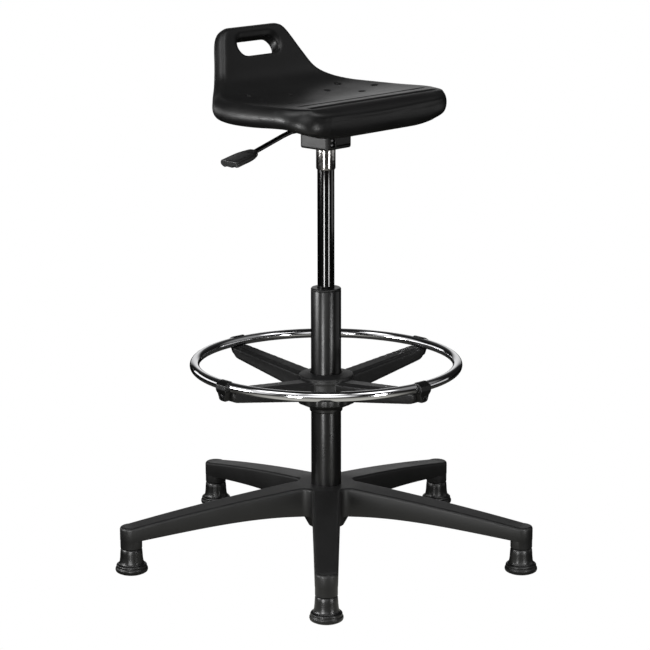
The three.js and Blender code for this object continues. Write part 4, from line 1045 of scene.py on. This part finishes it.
# %% Finishes on the CAD nodes
by_slot = {"nylon": nylon, "seat_foam": foam, "enamel": paint, "chrome": chrome, "steel": zinc,
           "soft_rubber": rubber, "acetal": acetal, "plywood": plywood}
slot_of = {part["node"]: part["material_slot"] for part in frame["record"]["subparts"]}
for node, piece in frame["nodes"].items():
    piece.data.materials.clear()
    piece.data.materials.append(by_slot[slot_of[node]])
print(len(slot_of), "nodes finished")

# %% [markdown]
# ## Studio
# The photograph is a plain catalogue view on white. The eye sees white all round, but a chrome
# ring in a white room would have no black lines, so the room is white to the camera only. To
# the stool it is dark, with a few soft lights in the sky. Each light is a turn and a rise in
# degrees, a width and a brightness.

# %% Soft lights in the sky
bpy.context.scene.view_settings.view_transform = "Standard"
SKY_LIGHTS = [(42, 4, 24, 0.8), (42, 42, 34, 0.05), (222, 20, 30, 1.6), (312, 40, 34, 0.25),
              (150, 16, 34, 0.9), (165, 55, 20, 3), (222, 64, 15, 3), (280, 54, 18, 3)]
SKY_REST = 0.01
world = bpy.data.worlds.new("studio_sky")
world.use_nodes = True
bpy.context.scene.world = world
sky = world.node_tree
sky.nodes.clear()
seen_way = add(sky, "TexCoord").outputs["Generated"]
strength = SKY_REST
for turn, rise, width, glow in SKY_LIGHTS:
    turn, rise, width = (math.radians(value) for value in (turn, rise, width))
    way = Vector((math.cos(rise) * math.cos(turn), math.cos(rise) * math.sin(turn),
                  math.sin(rise)))
    near = add(sky, "VectorMath", {0: seen_way, 1: way}, operation="DOT_PRODUCT")
    part = add(sky, "MapRange", {"Value": near.outputs["Value"], "From Min": math.cos(width),
                                 "From Max": 1, "To Min": 0, "To Max": glow},
               interpolation_type="SMOOTHSTEP")
    strength = maths(sky, "ADD", part.outputs[0], strength)
direct = add(sky, "LightPath").outputs["Is Camera Ray"]
shown = add(sky, "Mix", {"Factor": direct, "A": strength, "B": 1}, data_type="FLOAT")
background = add(sky, "Background", {"Color": (1, 1, 1, 1), "Strength": shown.outputs[0]})
add(sky, "OutputWorld", {"Surface": background.outputs[0]})
print(len(SKY_LIGHTS), "lights in the sky")

# %% [markdown]
# ### Floor
# A paper floor under a lit stool is brightest near it and in front. A lit white sheet would
# also throw its light up at the whole stool, so this sheet glows instead, by its distance and
# its side, and gives matt surfaces less than shiny ones. A glow is a radius and a brightness.

# %% Floor
FLOOR_REACH = 5
FLOOR_GLOW = [(0.25, 0.5), (0.6, 0.42), (1.1, 0.1), (2.0, 0.03), (4.0, 0.05)]
FLOOR_BOUNCE = 0.25
FLOOR_SIDES = 0.08
FLOOR_TINT = (1, 0.99, 0.91)
FLOOR_HALF = 40
VIEW_TURN = math.radians(42)
floor = bmesh.new()
bmesh.ops.create_grid(floor, x_segments=1, y_segments=1, size=FLOOR_HALF)
floor_piece = helper_object("studio_floor", floor)
paper = bpy.data.materials.new("studio_paper")
paper.use_nodes = True
tree = paper.node_tree
tree.nodes.clear()
spot = add(tree, "TexCoord").outputs["Object"]
away = add(tree, "VectorMath", {0: spot}, operation="LENGTH").outputs["Value"]
fall = add(tree, "ValToRGB", {"Fac": maths(tree, "DIVIDE", away, FLOOR_REACH)})
stops = fall.color_ramp.elements
while len(stops) < len(FLOOR_GLOW):
    stops.new(0.5)
for stop, (radius, glow) in zip(stops, FLOOR_GLOW):
    stop.position = radius / FLOOR_REACH
    stop.color = (*(glow * share for share in FLOOR_TINT), 1)
rays = add(tree, "LightPath").outputs
power = add(tree, "MapRange", {"Value": rays["Is Diffuse Ray"], "To Min": 1,
                               "To Max": FLOOR_BOUNCE})
outward = add(tree, "VectorMath", {0: spot}, operation="NORMALIZE").outputs["Vector"]
near_way = Vector((-math.cos(VIEW_TURN), -math.sin(VIEW_TURN), 0))
toward = add(tree, "VectorMath", {0: outward, 1: near_way}, operation="DOT_PRODUCT")
front = add(tree, "MapRange", {"Value": toward.outputs["Value"], "From Min": 0.2, "From Max": 0.8,
                               "To Min": FLOOR_SIDES, "To Max": 1},
            interpolation_type="SMOOTHSTEP")
pale = add(tree, "Emission", {"Color": fall.outputs["Color"],
                              "Strength": maths(tree, "MULTIPLY", power.outputs[0],
                                                front.outputs[0])})
white = add(tree, "Emission", {"Color": (1, 1, 1, 1)})
choice = add(tree, "MixShader", {0: rays["Is Camera Ray"], 1: pale.outputs[0],
                                 2: white.outputs[0]})
add(tree, "OutputMaterial", {"Surface": choice.outputs[0]})
floor_piece.data.materials.append(paper)
print("floor glows", FLOOR_GLOW)

# %% [markdown]
# ### Lamps
# A photographer puts tall narrow lamps low beside shiny tubes, and each draws one bright line
# down the tube. Two strips do this for the column and the gas lift. A wide box at the left
# lights the seat's front corner, and two large dim walls fill its side and its nose. They only
# show in reflections, so they don't light matt surfaces.


# %% Lamps
WHITE_POWER = 4


def softbox(name, turn, distance, height, size, glow, aim=0.3):
    """A soft lamp that stands round the stool; its face is glow times as bright as white."""
    lamp = bpy.data.lights.new(name, "AREA")
    lamp.shape = "RECTANGLE"
    lamp.size, lamp.size_y = size
    lamp.energy = glow * WHITE_POWER * size[0] * size[1]
    stand = bpy.data.objects.new(name, lamp)
    turn = math.radians(turn)
    spot = Vector((distance * math.cos(turn), distance * math.sin(turn), height))
    stand.location = spot
    stand.rotation_euler = (Vector((0, 0, aim)) - spot).to_track_quat("-Z", "Y").to_euler()
    stand.visible_camera = False
    stand.visible_diffuse = False
    bpy.context.scene.collection.objects.link(stand)


softbox("strip_left", 199, 1.2, 0.22, (0.2, 0.44), 16)
softbox("strip_right", 262, 1.2, 0.22, (0.18, 0.44), 11)
softbox("box_left", 151, 1.6, 0.56, (0.6, 0.24), 21, aim=0.75)
softbox("wall_left", 110, 2.4, 0.68, (2.4, 0.6), 1.0, aim=0.75)
softbox("box_right", 318, 2.2, 0.3, (1.6, 0.6), 0.45)
print(len(bpy.data.lights), "lamps")

# %% [markdown]
# ## Camera
# A long lens from about four metres, a little above the seat, at the photograph's angle. A
# shorter lens from nearer would spread the legs more than the photograph does.

# %% Camera
CAMERA_SPOT = Vector((-2.9033, -2.6033, 1.2989))
LOOK_TURN = math.radians(-48)
LOOK_DOWN = math.radians(13.17)
LOOK_ROLL = math.radians(0.072)
LENS = 133.77
SENSOR = 36
level = Vector((-math.sin(LOOK_TURN), math.cos(LOOK_TURN), 0))
ahead = level * math.cos(LOOK_DOWN) - Vector((0, 0, math.sin(LOOK_DOWN)))
right = ahead.cross(Vector((0, 0, 1))).normalized()
over = right.cross(ahead)
right, over = (right * math.cos(LOOK_ROLL) - over * math.sin(LOOK_ROLL),
               right * math.sin(LOOK_ROLL) + over * math.cos(LOOK_ROLL))
turn = Matrix((right, over, -ahead)).transposed().to_4x4()
lens = bpy.data.cameras.new("camera")
lens.lens = LENS
lens.sensor_width = SENSOR
lens.clip_end = 200
camera = bpy.data.objects.new("camera", lens)
camera.matrix_world = Matrix.Translation(CAMERA_SPOT) @ turn
bpy.context.scene.collection.objects.link(camera)
bpy.context.scene.camera = camera
print("camera", [round(value, 2) for value in CAMERA_SPOT], "lens", LENS, "mm")
